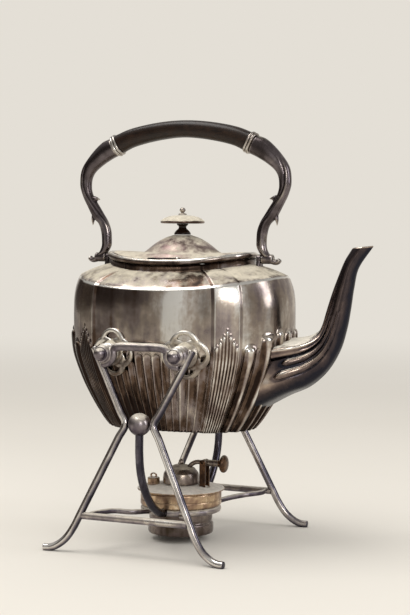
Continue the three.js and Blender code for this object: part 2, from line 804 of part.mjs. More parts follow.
function lid() {
  const top = lidSkin(0)
  const under = lidSkin(lid_sheet).filter((ring, n) => n % 2 === 1 || n === 0).reverse()
  const shell = skin([middle(top[0]), ...top, ...under, middle(under[under.length - 1])])
  const groove = alongX(-knuckle_half - seat_gap, knuckle_half + hinge_pin_head_long + 2 * seat_gap, knuckle_radius + seat_gap)
  const middle_barrel = alongX(-lid_knuckle_half, lid_knuckle_half, knuckle_radius)
  const web = box(
    [-lid_knuckle_half, hinge_y, hinge_z - lid_sheet],
    [lid_knuckle_half, hinge_y + 2 * knuckle_radius, hinge_z],
  )
  return shell.subtract(groove).add(web).add(middle_barrel).subtract(pin_way)
}
place('lid', lid(), silver)

// Knob: turned ebony foot, silver mushroom disc and a small ball finial
const knob_z = lid_top_z + seat_gap
place(
  'knob_foot',
  upright(
    [
      [0, knob_z],
      [knob_foot_radius, knob_z],
      [0.93 * knob_foot_radius, knob_z + 0.14 * knob_foot_high],
      [0.66 * knob_foot_radius, knob_z + 0.3 * knob_foot_high],
      [knob_waist_radius, knob_z + 0.55 * knob_foot_high],
      [knob_waist_radius, knob_z + 0.82 * knob_foot_high],
      [1.15 * knob_waist_radius, knob_z + knob_foot_high],
      [0, knob_z + knob_foot_high],
    ],
    0,
    0,
    knob_sides,
  ),
  ebony,
)
const disc_z = knob_z + knob_foot_high + seat_gap
place(
  'knob_disc',
  upright(
    [
      [0, disc_z],
      [0.3 * disc_radius, disc_z],
      [0.75 * disc_radius, disc_z + 0.5 * disc_rim],
      [disc_radius, disc_z + disc_rim],
      [0.97 * disc_radius, disc_z + 1.9 * disc_rim],
      [0.72 * disc_radius, disc_z + 0.68 * disc_high],
      [0.4 * disc_radius, disc_z + 0.9 * disc_high],
      [0.15 * disc_radius, disc_z + disc_high],
      [0, disc_z + disc_high],
    ],
    0,
    0,
    knob_sides,
  ),
  silver,
)
const finial_z = disc_z + disc_high + seat_gap
place(
  'knob_finial',
  upright(
    [
      [0, finial_z],
      [finial_collar, finial_z],
      [0.9 * finial_collar, finial_z + 0.18 * finial_high],
      [0.4 * finial_collar, finial_z + 0.26 * finial_high],
      [0.75 * finial_ball, finial_z + 0.38 * finial_high],
      [finial_ball, finial_z + 0.6 * finial_high],
      [0.75 * finial_ball, finial_z + 0.86 * finial_high],
      [0, finial_z + finial_high],
    ],
    0,
    0,
    lever_sides,
  ),
  silver,
)

// Handle: ebony grip, beaded collars and horn-shaped silver arms
function armPoint(k, side) {
  return side
    ? [arm_out_x * arm_out_x_shares[k], handle_top_z - arm_drop * arm_out_z_shares[k]]
    : [arm_out_x * arm_in_x_shares[k], handle_top_z - arm_drop * arm_in_z_shares[k]]
}

// A section across the front arm's upper end, moved back towards the grip and
// grown all round
function armEndSection(back, over, half, power, flip = 1) {
  const [out, inner] = [armPoint(0, true), armPoint(0, false)]
  const across = new THREE.Vector2(out[0] - inner[0], out[1] - inner[1]).normalize()
  const shift = (p, m) => [
    flip * (p[0] - across.y * back + across.x * m),
    p[1] + across.x * back + across.y * m,
  ]
  return section(shift(inner, -over), shift(out, over), half + over, power, grip_points)
}

function gripSections() {
  const end = (flip) => armEndSection(collar_wide + 2 * seat_gap, 0, grip_end_half_wide, 1.25, flip)
  const rings = [end(-1)]
  const stations = [...grip_x_shares.slice(1).map((s) => -s).reverse(), ...grip_x_shares]
  for (const share of stations) {
    const n = grip_x_shares.indexOf(Math.abs(share))
    const slope = (grip_fall * 2 * share) / grip_half
    const deep = lift(grip_deep, grip_end_deep, Math.abs(share))
    const top = [grip_half * share, handle_top_z - grip_fall * grip_fall_shares[n]]
    const tilt = Math.atan(slope)
    const low = [top[0] - deep * Math.sin(tilt), top[1] - deep * Math.cos(tilt)]
    rings.push(section(low, top, lift(grip_half_wide, grip_end_half_wide, Math.abs(share)), 1.25, grip_points))
  }
  rings.push(end(1))
  return rings
}
place('grip', capped(gripSections()), ebony)

function collar() {
  const rings = collar_place_shares.map((share, n) => {
    const over = lift(collar_over - collar_groove, collar_over, collar_bead_shares[n])
    return armEndSection(collar_wide * share + seat_gap, over, grip_end_half_wide, 1.15)
  })
  return capped(rings)
}
place('collar_front', collar(), silver)
place('collar_rear', mirrored(collar(), -1, 1), silver)

const pivot_way = bar([ear_in_x - cut_over, 0, pivot_z], [foot_out_x + cut_over, 0, pivot_z], pivot_pin_radius + run_gap / 2, lever_sides)

function handleArm() {
  const rings = []
  for (let k = 0; k < arm_out_x_shares.length; k++) {
    rings.push(section(armPoint(k, false), armPoint(k, true), arm_half_wide * arm_wide_shares[k], 1.1, arm_points))
  }
  const horn = capped(rings)
  const foot = bar([foot_in_x, 0, pivot_z], [foot_out_x, 0, pivot_z], foot_radius, lever_sides)
  const curl = rod(
    [
      [foot_out_x - curl_radius, 0, pivot_z - 0.4 * curl_radius],
      [foot_out_x + 0.4 * curl_reach, 0, pivot_z - 0.8 * curl_radius],
      [foot_out_x + 0.9 * curl_reach, 0, pivot_z - 0.7 * curl_radius],
      [foot_out_x + curl_reach, 0, pivot_z + 0.2 * curl_radius],
    ],
    0.86 * curl_radius,
    6,
    4,
  )
  const spur = (tip_x, tip_z, root_x, root_z, lean) => {
    const shape = new THREE.Shape([
      new THREE.Vector2(tip_x, tip_z),
      new THREE.Vector2(root_x - lean, root_z - spur_long / 2),
      new THREE.Vector2(root_x + lean, root_z + spur_long / 2),
    ])
    const blade = new THREE.ExtrudeGeometry(shape, { depth: spur_thick, bevelEnabled: false })
    return solidOf(blade.translate(0, 0, -spur_thick / 2).rotateX(Math.PI / 2))
  }
  const in_z = pivot_z + spur_in_rise
  const out_z = pivot_z + spur_out_rise
  return horn
    .add(foot)
    .add(curl)
    .add(spur(spur_in_x, in_z, spur_in_x + 0.8 * spur_long, in_z, spur_long / 6))
    .add(spur(spur_out_x, out_z, spur_out_x - spur_long / 3, out_z + spur_long, spur_long / 3))
    .subtract(pivot_way)
}
const handle_arm = handleArm()
place('handle_arm_front', handle_arm, dark_silver)
place('handle_arm_rear', mirrored(handle_arm, -1, 1), dark_silver)

const pivot_pin = bar([ear_in_x, 0, pivot_z], [foot_out_x + seat_gap, 0, pivot_z], pivot_pin_radius, lever_sides)
place('handle_pin_front', pivot_pin, silver)
place('handle_pin_rear', mirrored(pivot_pin, -1, 1), silver)

// Handle lugs: a leaf lying on the shoulder with one upright ear
function handleLug() {
  const shape = new THREE.Shape()
  shape.moveTo(leaf_in_x, leaf_half_wide)
  shape.quadraticCurveTo(lift(leaf_in_x, leaf_out_x, 0.7), leaf_half_wide, leaf_out_x, 0)
  shape.quadraticCurveTo(lift(leaf_in_x, leaf_out_x, 0.7), -leaf_half_wide, leaf_in_x, -leaf_half_wide)
  shape.closePath()
  const depth = pivot_z - body_base_z
  const column = solidOf(
    new THREE.ExtrudeGeometry(shape, { depth, bevelEnabled: false, curveSegments: 5 }).translate(0, 0, body_base_z + depth / 2),
  )
  const leaf = column.intersect(bodyOutside(seat_gap + leaf_sheet)).subtract(body_keep_out)
  const ear = bar([ear_in_x, 0, pivot_z], [foot_in_x - seat_gap, 0, pivot_z], ear_half_wide, knob_sides / 2).add(
    box([ear_in_x, -ear_half_wide, edgeZ(0)], [foot_in_x - seat_gap, ear_half_wide, pivot_z]),
  )
  return leaf.add(ear.subtract(body_keep_out)).subtract(pivot_way)
}
const handle_lug = handleLug()
place('handle_lug_front', handle_lug, silver)
place('handle_lug_rear', mirrored(handle_lug, -1, 1), silver)

// Pin lugs: a pierced four-petal plate that hugs the body, with a round boss.
// The rear bosses are slotted underneath, so the kettle lifts off those pins.
function disc(x, z, radius, sides = petal_sides) {
  return bar([x, -body_half_width / 2, z], [x, -boss_face_y - cut_over, z], radius, sides)
}

function pinLug(slotted) {
  let outline = disc(pin_x, pin_z, petal_reach)
  let holes = null
  for (let i = 0; i < 4; i++) {
    const a = (i / 4) * full_turn
    const at = (reach) => [pin_x + reach * Math.cos(a), pin_z + reach * Math.sin(a)]
    outline = outline.add(disc(...at(petal_reach), petal_radius))
    const hole = disc(...at(petal_hole_reach), petal_hole, hole_sides)
    holes = holes ? holes.add(hole) : hole
  }
  const plate = outline.subtract(holes).intersect(bodyHug(hug_gap + lug_sheet))
  const boss = layAlongNear(
    revolve(
      [
        [0, body_half_width / 2],
        [dome_foot_radius, body_half_width / 2],
        [dome_foot_radius, boss_face_y - dome_high],
        [boss_radius, boss_face_y],
        [0, boss_face_y],
      ],
      pin_sides,
    ),
  ).translate([pin_x, 0, pin_z])
  const way = bar(
    [pin_x, -body_half_width, pin_z],
    [pin_x, -boss_face_y - cut_over, pin_z],
    pin_radius + (slotted ? slot_gap : run_gap / 2),
    pin_sides,
  )
  const lug = plate.add(boss).subtract(body_hug_inner)
  if (!slotted) return lug.subtract(way)
  const slot = box(
    [pin_x - pin_radius - slot_gap, -boss_face_y - cut_over, pin_z - dome_foot_radius - cut_over],
    [pin_x + pin_radius + slot_gap, -body_half_width, pin_z],
  )
  return lug.subtract(way).subtract(slot)
}
const front_lug = pinLug(false)
const rear_lug = mirrored(pinLug(true), -1, 1)
place('pin_lug_front_near', front_lug, silver)
place('pin_lug_front_far', mirrored(front_lug, 1, -1), silver)
place('pin_lug_rear_near', rear_lug, silver)
place('pin_lug_rear_far', mirrored(rear_lug, 1, -1), silver)

// Pull-out pins with ringed, domed heads
const pin_tip_y = body_half_width + run_gap
function pullPin() {
  const shaft = barrel_out_y + seat_gap - pin_tip_y
  const solid = revolve(
    [
      [0, 0],
      [pin_radius, 0],
      [pin_radius, shaft],
      [pin_ring_radius, shaft],
      [pin_ring_radius, shaft + pin_ring_long],
      [pin_head_radius, shaft + pin_ring_long],
      [0.72 * pin_head_radius, shaft + pin_ring_long + 0.75 * pin_head_long],
      [0, shaft + pin_ring_long + pin_head_long],
    ],
    pin_sides,
  )
  return layAlongNear(solid).translate([pin_x, -pin_tip_y, pin_z])
}
const pull_pin = pullPin()
place('pin_front_near', pull_pin, silver)
place('pin_front_far', mirrored(pull_pin, 1, -1), silver)
place('pin_rear_near', mirrored(pull_pin, -1, 1), silver)
place('pin_rear_far', mirrored(pull_pin, -1, -1), silver)

// Top bar of each side frame: a bent bar with an eye and a stepped barrel at each end
function topBar() {
  const from = boss_face_y + seat_gap
  const long = barrel_out_y - from
  const outline = barrel_place_shares.map((share, n) => [barrel_radius * barrel_radius_shares[n], from + long * share])
  outline.unshift([0, from])
  outline.push([0, barrel_out_y])
  const barrel = layAlongNear(revolve(outline, pin_sides)).translate([pin_x, 0, pin_z])
  const eye = bar(
    [pin_x, -eye_mid_y + eye_thick / 2, pin_z],
    [pin_x, -eye_mid_y - eye_thick / 2, pin_z],
    eye_radius,
    pin_sides,
  )
  const way = bar([pin_x, 0, pin_z], [pin_x, -barrel_out_y - cut_over, pin_z], pin_radius + run_gap / 2, pin_sides)
  const end = barrel.add(eye).subtract(way)
  const reach = (eye_radius - top_bar_radius / 2) * Math.SQRT1_2
  const strap = rod(
    [
      [-pin_x + reach, -eye_mid_y, pin_z + reach * 0.4],
      [-top_bar_half - top_bar_radius, -eye_mid_y, top_bar_z - top_bar_radius / 2],
      [-top_bar_half + top_bar_radius, -eye_mid_y, top_bar_z],
      [0, -eye_mid_y, top_bar_z],
      [top_bar_half - top_bar_radius, -eye_mid_y, top_bar_z],
      [top_bar_half + top_bar_radius, -eye_mid_y, top_bar_z - top_bar_radius / 2],
      [pin_x - reach, -eye_mid_y, pin_z + reach * 0.4],
    ],
    top_bar_radius,
    rod_sides,
    9,
  )
  return end.add(mirrored(end, -1, 1)).add(strap)
}
const top_bar = topBar()
place('top_bar_near', top_bar, silver)
place('top_bar_far', mirrored(top_bar, 1, -1), silver)

// Bent rods: from beside a pin barrel down past the ball, out to a toe
const rod_pass_x = ball_radius + seat_gap + rod_radius
const rod_top_x = pin_x + barrel_radius + seat_gap + rod_radius / 2
function bentRodPath() {
  const top = [rod_top_x, -rod_top_y, rod_top_z]
  const pass = [rod_pass_x, -ball_y, ball_z]
  const knee = [leg_bar_x, -leg_bar_y, bar_z]
  const mix = (a, b, share) => a.map((v, i) => lift(v, b[i], share))
  const past = mix(pass, knee, 1 + leg_knee_share)
  const toe = [foot_tip_x, -foot_tip_y, rod_radius - foot_flat]
  return [
    top,
    mix(top, pass, 0.5),
    mix(pass, top, bend_share),
    pass,
    mix(pass, knee, bend_share),
    mix(pass, knee, 0.55),
    knee,
    past,
    [lift(past[0], toe[0], 0.26), lift(past[1], toe[1], 0.4), lift(toe[2], past[2], 0.46)],
    [lift(past[0], toe[0], 0.55), lift(past[1], toe[1], 0.65), lift(toe[2], past[2], 0.14)],
    [lift(past[0], toe[0], 0.78), lift(past[1], toe[1], 0.84), lift(toe[2], past[2], 0.015)],
    toe,
  ]
}
const under_floor = box(
  [-2 * foot_tip_x, -2 * foot_tip_y, -body_base_z],
  [2 * foot_tip_x, 2 * foot_tip_y, 0],
)
const barrel_keep_out = bar(
  [pin_x, -boss_face_y + cut_over, pin_z],
  [pin_x, -barrel_out_y, pin_z],
  barrel_radius + seat_gap,
  pin_sides,
).add(
  bar([pin_x, -eye_mid_y + eye_thick / 2 + seat_gap, pin_z], [pin_x, -barrel_out_y, pin_z], eye_radius + seat_gap, pin_sides),
)
const bent_rod = rod(bentRodPath(), rod_radius, rod_sides, bent_rod_steps)
  .subtract(under_floor)
  .subtract(barrel_keep_out)
place('rod_front_near', bent_rod, silver)
place('rod_front_far', mirrored(bent_rod, 1, -1), silver)
place('rod_rear_near', mirrored(bent_rod, -1, 1), silver)
place('rod_rear_far', mirrored(bent_rod, -1, -1), silver)

const rod_keep_out = rod(bentRodPath(), rod_radius + seat_gap, rod_sides, bent_rod_steps)
const both_rods = rod_keep_out.add(mirrored(rod_keep_out, -1, 1))

// Balls between the rods
const ball = solidOf(new THREE.SphereGeometry(ball_radius, ball_sides, ball_rows).rotateX(Math.PI / 2).translate(0, -ball_y, ball_z)).subtract(both_rods)
place('ball_near', ball, silver)
place('ball_far', mirrored(ball, 1, -1), silver)

// Crossbars between the legs of each side
const crossbar = bar([-leg_bar_x, -leg_bar_y, bar_z], [leg_bar_x, -leg_bar_y, bar_z], rod_radius).subtract(both_rods)
place('crossbar_near', crossbar, silver)
place('crossbar_far', mirrored(crossbar, 1, -1), silver)

// Ring under the lamp, and the arms that carry it
const ring_section = []
for (let i = 0; i < ring_sides; i++) {
  const a = (i / ring_sides) * full_turn
  ring_section.push([ring_radius + ring_rod_radius * Math.cos(a), ring_z + ring_rod_radius * Math.sin(a)])
}
place('lamp_ring', revolve(ring_section, ring_steps), silver)
const ring_keep_out = revolve(
  ring_section.map(([r, z]) => [
    lift(ring_radius, r, 1 + seat_gap / ring_rod_radius),
    lift(ring_z, z, 1 + seat_gap / ring_rod_radius),
  ]),
  ring_steps,
)
const ball_keep_out = solidOf(
  new THREE.SphereGeometry(ball_radius + seat_gap, ball_sides, ball_rows).rotateX(Math.PI / 2).translate(0, -ball_y, ball_z),
)
const band_base = ring_z + ring_rod_radius + seat_gap
const band_keep_out = revolve(
  [
    [0, band_base - seat_gap],
    [band_radius + seat_gap, band_base - seat_gap],
    [band_radius + seat_gap, band_base + band_high],
    [0, band_base + band_high],
  ],
  lamp_sides,
)
const third_top = ball_z - ball_radius / 2
const third_fall = third_top - ring_z
const third_run = ball_y - ring_radius
const third_arm = rod(
  [
    [0, -ball_y, third_top],
    [0, -ball_y, lift(third_top, ring_z, 0.28)],
    [0, -lift(ball_y, ring_radius, 0.06), lift(third_top, ring_z, 0.48)],
    [0, -lift(ball_y, ring_radius, 0.22), lift(third_top, ring_z, 0.68)],
    [0, -lift(ball_y, ring_radius, 0.48), lift(third_top, ring_z, 0.86)],
    [0, -lift(ball_y, ring_radius, 0.78), lift(third_top, ring_z, 0.97)],
    [0, -ring_radius, ring_z],
  ],
  third_arm_radius,
  rod_sides,
  9,
)
  .subtract(ball_keep_out)
  .subtract(band_keep_out)
  .subtract(ring_keep_out)
place('third_arm_near', third_arm, silver)
place('third_arm_far', mirrored(third_arm, 1, -1), silver)

const bar_keep_out = bar([-leg_bar_x, -leg_bar_y, bar_z], [leg_bar_x, -leg_bar_y, bar_z], rod_radius + seat_gap)
const ring_meet = Math.sqrt(ring_radius ** 2 - arm_reach_x ** 2)
const arm_start_x = leg_bar_x - 2.4 * rod_radius
const ring_arm = rod(
  [
    [arm_start_x, -leg_bar_y, bar_z],
    [arm_start_x, -lift(leg_bar_y, ring_meet, 0.2), bar_z],
    [lift(arm_start_x, arm_reach_x, 0.32), -lift(leg_bar_y, ring_meet, 0.48), bar_z],
    [lift(arm_start_x, arm_reach_x, 0.72), -lift(leg_bar_y, ring_meet, 0.66), lift(bar_z, ring_z, 0.5)],
    [arm_reach_x, -ring_meet, ring_z],
  ],
  ring_arm_radius,
  ring_arm_sides,
  6,
)
  .subtract(bar_keep_out)
  .subtract(rod_keep_out)
  .subtract(ring_keep_out)
place('ring_arm_front_near', ring_arm, silver)
place('ring_arm_front_far', mirrored(ring_arm, 1, -1), silver)
place('ring_arm_rear_near', mirrored(ring_arm, -1, 1), silver)
place('ring_arm_rear_far', mirrored(ring_arm, -1, -1), silver)

// Spirit lamp: cup, band that hangs on the ring, and top plate with a lip
const band_top = band_base + band_high
place(
  'lamp_cup',
  revolve(
    [
      [0, lamp_base_z],
      [0.86 * cup_radius, lamp_base_z],
      [cup_radius, lamp_base_z + 0.2 * (cup_neck_z - lamp_base_z)],
      [cup_radius, lift(lamp_base_z, cup_neck_z, 0.8)],
      [cup_neck_radius, cup_neck_z],
      [cup_neck_radius, cup_top_z],
      [cup_neck_radius - cup_wall, cup_top_z],
      [cup_neck_radius - cup_wall, lamp_base_z + 2 * cup_wall],
      [0.8 * cup_radius, lamp_base_z + cup_wall],
      [0, lamp_base_z + cup_wall],
    ],
    lamp_sides,
  ),
  dark_silver,
)
place(
  'lamp_band',
  revolve(
    [
      [cup_neck_radius + seat_gap, band_base],
      [band_radius, band_base],
      [band_radius, band_top],
      [band_radius - band_wall, band_top],
      [band_radius - band_wall, band_base + band_wall],
      [cup_neck_radius + seat_gap, band_base + band_wall],
    ],
    lamp_sides,
  ),
  brass,
)
const plate_base = band_top + seat_gap
const plate_top = plate_base + plate_thick
const tube_top = plate_top + wick_tube_high
const snuffer_rim_z = tube_top + snuffer_clear
const snuffer_top = snuffer_rim_z + snuffer_high
const lever_z = snuffer_top + lever_over
const plate = revolve(
  [
    [wick_tube_radius + seat_gap, plate_base],
    [plate_radius, plate_base],
    [plate_radius, plate_top + plate_lip],
    [plate_radius - plate_lip_wall, plate_top + plate_lip],
    [plate_radius - plate_lip_wall, plate_top],
    [wick_tube_radius + seat_gap, plate_top],
  ],
  lamp_sides,
)
const filler_neck = upright(
  [
    [cap_neck_radius - cap_wall, plate_base],
    [cap_neck_radius, plate_base],
    [cap_neck_radius, plate_top + cap_neck_high],
    [cap_neck_radius - cap_wall, plate_top + cap_neck_high],
  ],
  cap_x,
  cap_y,
  pin_sides,
)
const filler_way = bar([cap_x, cap_y, 0], [cap_x, cap_y, tube_top], cap_neck_radius - cap_wall, pin_sides)
place('lamp_plate', plate.add(filler_neck).subtract(filler_way), brass)
place(
  'wick_tube',
  revolve(
    [
      [wick_tube_radius - wick_tube_wall, tube_top - wick_long + wick_over],
      [wick_tube_radius, tube_top - wick_long + wick_over],
      [wick_tube_radius, tube_top],
      [wick_tube_radius - wick_tube_wall, tube_top],
    ],
    pin_sides,
  ),
  brass,
)
place('wick', revolve(
  [
    [0, tube_top - wick_long],
    [wick_radius, tube_top - wick_long],
    [wick_radius, tube_top + wick_over],
    [0, tube_top + wick_over],
  ],
  pin_sides,
), cotton)

// Filler cap with a carrying loop
const cap_base = plate_top + seat_gap
place(
  'filler_cap',
  upright(
    [
      [0, plate_top + cap_neck_high + seat_gap],
      [cap_neck_radius + seat_gap, plate_top + cap_neck_high + seat_gap],
      [cap_neck_radius + seat_gap, cap_base],
      [cap_radius, cap_base],
      [cap_radius, cap_base + 0.7 * cap_high],
      [0.8 * cap_radius, cap_base + cap_high],
      [0, cap_base + cap_high],
    ],
    cap_x,
    cap_y,
    pin_sides,
  ).add(
    solidOf(
      new THREE.TorusGeometry(cap_loop_radius, cap_loop_rod, 5, 10)
        .rotateX(Math.PI / 2)
        .translate(cap_x, cap_y, cap_base + cap_high + cap_loop_radius - cap_loop_rod / 2),
    ),
  ),
  brass,
)

// Snuffer: a domed cap on a lever that tips in a small fork
const dome_reach_shares = [1, 0.96, 0.74, 0.36]
const dome_rise_shares = [0, 0.4, 0.76, 0.97]
const dome_rows = dome_reach_shares.map((reach, n) => [reach, dome_rise_shares[n]])
const dome_outline = [
  ...dome_rows.map(([r, h]) => [snuffer_radius * r, snuffer_rim_z + snuffer_high * h]),
  [0, snuffer_rim_z + snuffer_high],
  [0, snuffer_rim_z + snuffer_high - snuffer_wall],
  ...dome_rows
    .slice()
    .reverse()
    .map(([r, h]) => [(snuffer_radius - snuffer_wall) * r, snuffer_rim_z + (snuffer_high - snuffer_wall) * h]),
]
const snuffer = solidOf(
  new THREE.LatheGeometry(
    [...dome_outline, dome_outline[0]].map(([r, h]) => new THREE.Vector2(r, h)),
    snuffer_sides,
  ).rotateX(Math.PI / 2),
)
const crank = rod(
  [
    [0.5 * snuffer_radius, 0, snuffer_rim_z + 0.89 * snuffer_high],
    [0.68 * snuffer_radius, 0, lift(snuffer_rim_z + 0.89 * snuffer_high, lever_z, 0.6)],
    [0.95 * snuffer_radius, 0, lever_z],
    [lever_x, 0, lever_z],
    [lift(lever_x, lever_knob_x, 0.6), 0, lever_z],
    [lever_knob_x - seat_gap, 0, lever_z],
  ],
  lever_radius,
  ring_arm_sides,
  6,
)
const fork_pin_way = bar(
  [lever_x, -2 * fork_inside, lever_z],
  [lever_x, 2 * fork_inside, lever_z],
  fork_pin_radius + run_gap / 2,
  ring_arm_sides,
)
const lever_eye = bar(
  [lever_x, -fork_inside + seat_gap, lever_z],
  [lever_x, fork_inside - seat_gap, lever_z],
  1.5 * lever_radius,
  lever_sides,
)
place('snuffer', snuffer.add(crank).add(lever_eye).subtract(fork_pin_way), silver)
place(
  'snuffer_finial',
  upright(
    [
      [0, snuffer_top + seat_gap],
      [0.8 * snuffer_ball, snuffer_top + seat_gap],
      [snuffer_ball, snuffer_top + snuffer_ball],
      [0.7 * snuffer_ball, snuffer_top + 1.8 * snuffer_ball],
      [0, snuffer_top + 2.1 * snuffer_ball],
    ],
    0,
    0,
    lever_sides,
  ),
  silver,
)
place(
  'lever_knob',
  layAlongX(
    revolve(
      [
        [0, 0],
        [0.45 * lever_knob_radius, 0],
        [0.5 * lever_knob_radius, 0.3 * lever_knob_long],
        [0.94 * lever_knob_radius, 0.42 * lever_knob_long],
        [lever_knob_radius, 0.6 * lever_knob_long],
        [0.9 * lever_knob_radius, 0.8 * lever_knob_long],
        [0.5 * lever_knob_radius, 0.96 * lever_knob_long],
        [0, lever_knob_long],
      ],
      knob_sides / 2 + 4,
    ),
  ).translate([lever_knob_x, 0, lever_z]),
  brass,
)
const fork_cheek = (y) =>
  box([lever_x - fork_half_long, y, plate_top + seat_gap], [lever_x + fork_half_long, y + fork_thick, lever_z]).add(
    bar([lever_x, y, lever_z], [lever_x, y + fork_thick, lever_z], fork_half_long, lever_sides),
  )
place(
  'snuffer_fork',
  fork_cheek(fork_inside)
    .add(fork_cheek(-fork_inside - fork_thick))
    .add(
      box(
        [lever_x - fork_half_long, -fork_inside - fork_thick, plate_top + seat_gap],
        [lever_x + fork_half_long, fork_inside + fork_thick, plate_top + seat_gap + fork_thick],
      ),
    )
    .subtract(fork_pin_way),
  brass,
)
place(
  'snuffer_pin',
  bar([lever_x, -fork_inside - fork_thick, lever_z], [lever_x, fork_inside + fork_thick, lever_z], fork_pin_radius, ring_arm_sides),
  silver,
)

// The whole object stands with the middle of its outer box over the origin
const bounds = new THREE.Box3().setFromObject(object)
const centre = bounds.getCenter(new THREE.Vector3())
object.position.set(-centre.x, -centre.y, -bounds.min.z)

export default object
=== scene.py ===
import math

import bmesh
import bpy
import numpy as np
from mathutils import Matrix, Vector


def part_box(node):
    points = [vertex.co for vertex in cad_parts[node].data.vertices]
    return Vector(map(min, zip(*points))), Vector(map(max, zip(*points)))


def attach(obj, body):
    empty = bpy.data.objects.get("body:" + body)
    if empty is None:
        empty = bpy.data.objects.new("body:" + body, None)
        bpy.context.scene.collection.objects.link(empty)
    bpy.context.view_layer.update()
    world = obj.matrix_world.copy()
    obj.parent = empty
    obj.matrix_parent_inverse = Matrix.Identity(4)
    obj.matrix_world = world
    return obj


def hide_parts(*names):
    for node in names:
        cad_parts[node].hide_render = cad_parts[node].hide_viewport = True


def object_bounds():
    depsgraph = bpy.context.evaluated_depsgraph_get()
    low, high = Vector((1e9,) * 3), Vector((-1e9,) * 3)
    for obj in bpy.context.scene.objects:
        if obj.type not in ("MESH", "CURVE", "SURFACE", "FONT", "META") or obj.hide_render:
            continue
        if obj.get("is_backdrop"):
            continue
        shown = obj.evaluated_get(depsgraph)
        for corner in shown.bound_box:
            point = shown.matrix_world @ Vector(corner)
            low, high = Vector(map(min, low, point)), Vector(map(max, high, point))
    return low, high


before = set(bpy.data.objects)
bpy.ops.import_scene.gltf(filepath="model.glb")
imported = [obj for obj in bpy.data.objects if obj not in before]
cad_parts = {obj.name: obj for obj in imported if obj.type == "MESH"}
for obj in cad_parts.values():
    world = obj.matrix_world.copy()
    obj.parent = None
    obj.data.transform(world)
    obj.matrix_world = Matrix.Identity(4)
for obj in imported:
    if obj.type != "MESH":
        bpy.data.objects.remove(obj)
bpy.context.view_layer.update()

# ---------------------------------------------------------------------------
# Kettle body. Sheet metal raised to an oval, chased below with hollow flutes
# and round reeds between four standing bands, and turned in over a shoulder
# to a low neck. Electroplated silver, long tarnished and rubbed on its edges.

stand_middle = (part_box("lamp_ring")[0].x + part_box("lamp_ring")[1].x) / 2


def linear(code):
    """An sRGB hex colour as linear red, green, blue and alpha."""
    parts = [int(code[i : i + 2], 16) / 255 for i in (1, 3, 5)]
    return (*[p / 12.92 if p <= 0.04045 else ((p + 0.055) / 1.055) ** 2.4 for p in parts], 1)


def node(tree, kind, inputs=None, **settings):
    """A new node in a tree, with its settings, and its inputs' values or links."""
    made = tree.nodes.new(kind)
    for name, value in settings.items():
        setattr(made, name, value)
    for socket, value in (inputs or {}).items():
        if isinstance(value, bpy.types.NodeSocket):
            tree.links.new(value, made.inputs[socket])
        else:
            made.inputs[socket].default_value = value
    return made


def maths(tree, operation, *values, clamp=False):
    """The result of a Math node."""
    return node(tree, "ShaderNodeMath", dict(enumerate(values)), operation=operation, use_clamp=clamp).outputs[0]


def together(tree, operation, *values):
    """One result from several values, taken two at a time."""
    result = values[0]
    for value in values[1:]:
        result = maths(tree, operation, result, value)
    return result


def ranged(tree, value, low, high, to_low=0.0, to_high=1.0, kind="LINEAR"):
    """A value moved from one range to another, and held at its ends."""
    inputs = {0: value, 1: low, 2: high, 3: to_low, 4: to_high}
    return node(tree, "ShaderNodeMapRange", inputs, interpolation_type=kind).outputs[0]


def mix(tree, share, low, high, kind="FLOAT"):
    """Two numbers mixed by a share, or two colours when the kind is RGBA."""
    first, result = (2, 0) if kind == "FLOAT" else (6, 2)
    return node(tree, "ShaderNodeMix", {0: share, first: low, first + 1: high}, data_type=kind).outputs[result]


def noise(tree, place, size, detail, roughness=0.5, distortion=0.0):
    """Noise in lumps of a size in millimetres."""
    inputs = {"Vector": place, "Scale": 1000 / size, "Detail": detail, "Roughness": roughness, "Distortion": distortion}
    return node(tree, "ShaderNodeTexNoise", inputs).outputs[0]


def ramp(tree, share, stops):
    """A colour ramp through stops of a position and a colour."""
    made = node(tree, "ShaderNodeValToRGB", {0: share})
    points = made.color_ramp.elements
    for point, (position, colour) in ((points[0], stops[0]), (points[1], stops[-1])):
        point.color = linear(colour)
        point.position = position
    for position, colour in stops[1:-1]:
        points.new(position).color = linear(colour)
    return made.outputs[0]


def new_material(name):
    """A material, its tree with no nodes yet, and where each point of the piece is."""
    made = bpy.data.materials.new(name)
    made.use_nodes = True
    made.node_tree.nodes.clear()
    return made, made.node_tree, node(made.node_tree, "ShaderNodeTexCoord").outputs["Object"]


def bumpy(tree, strength, depth, height):
    """A surface uneven by noise, too finely for its form."""
    return node(tree, "ShaderNodeBump", {"Strength": strength, "Distance": depth, "Height": height}).outputs[0]


def surface(tree, inputs):
    """The shader of a material, on its output."""
    shader = node(tree, "ShaderNodeBsdfPrincipled", inputs).outputs[0]
    node(tree, "ShaderNodeOutputMaterial", {"Surface": shader})


def mesh_of(name, points, faces):
    """A mesh from points in millimetres from the stand's middle."""
    mesh = bpy.data.meshes.new(name)
    metres = np.asarray(points, float) / 1000 + [stand_middle, 0, 0]
    mesh.from_pydata(metres.tolist(), [], faces)
    return mesh


def put(name, points, faces, finish, body, nodes, slot, smooth=40, rub_and_light=None):
    """A piece from points in millimetres, riding on a body in place of CAD nodes."""
    mesh = mesh_of(name, points, faces)
    if rub_and_light is not None:
        wear_and_light_of(mesh, rub_and_light)
    whole(mesh)
    return settle(name, mesh, finish, body, nodes, smooth)


def whole(mesh):
    """The same mesh with its seams and poles closed and its faces outwards."""
    work = bmesh.new()
    work.from_mesh(mesh)
    bmesh.ops.remove_doubles(work, verts=work.verts, dist=1e-6)
    bmesh.ops.recalc_face_normals(work, faces=work.faces)
    work.to_mesh(mesh)
    work.free()


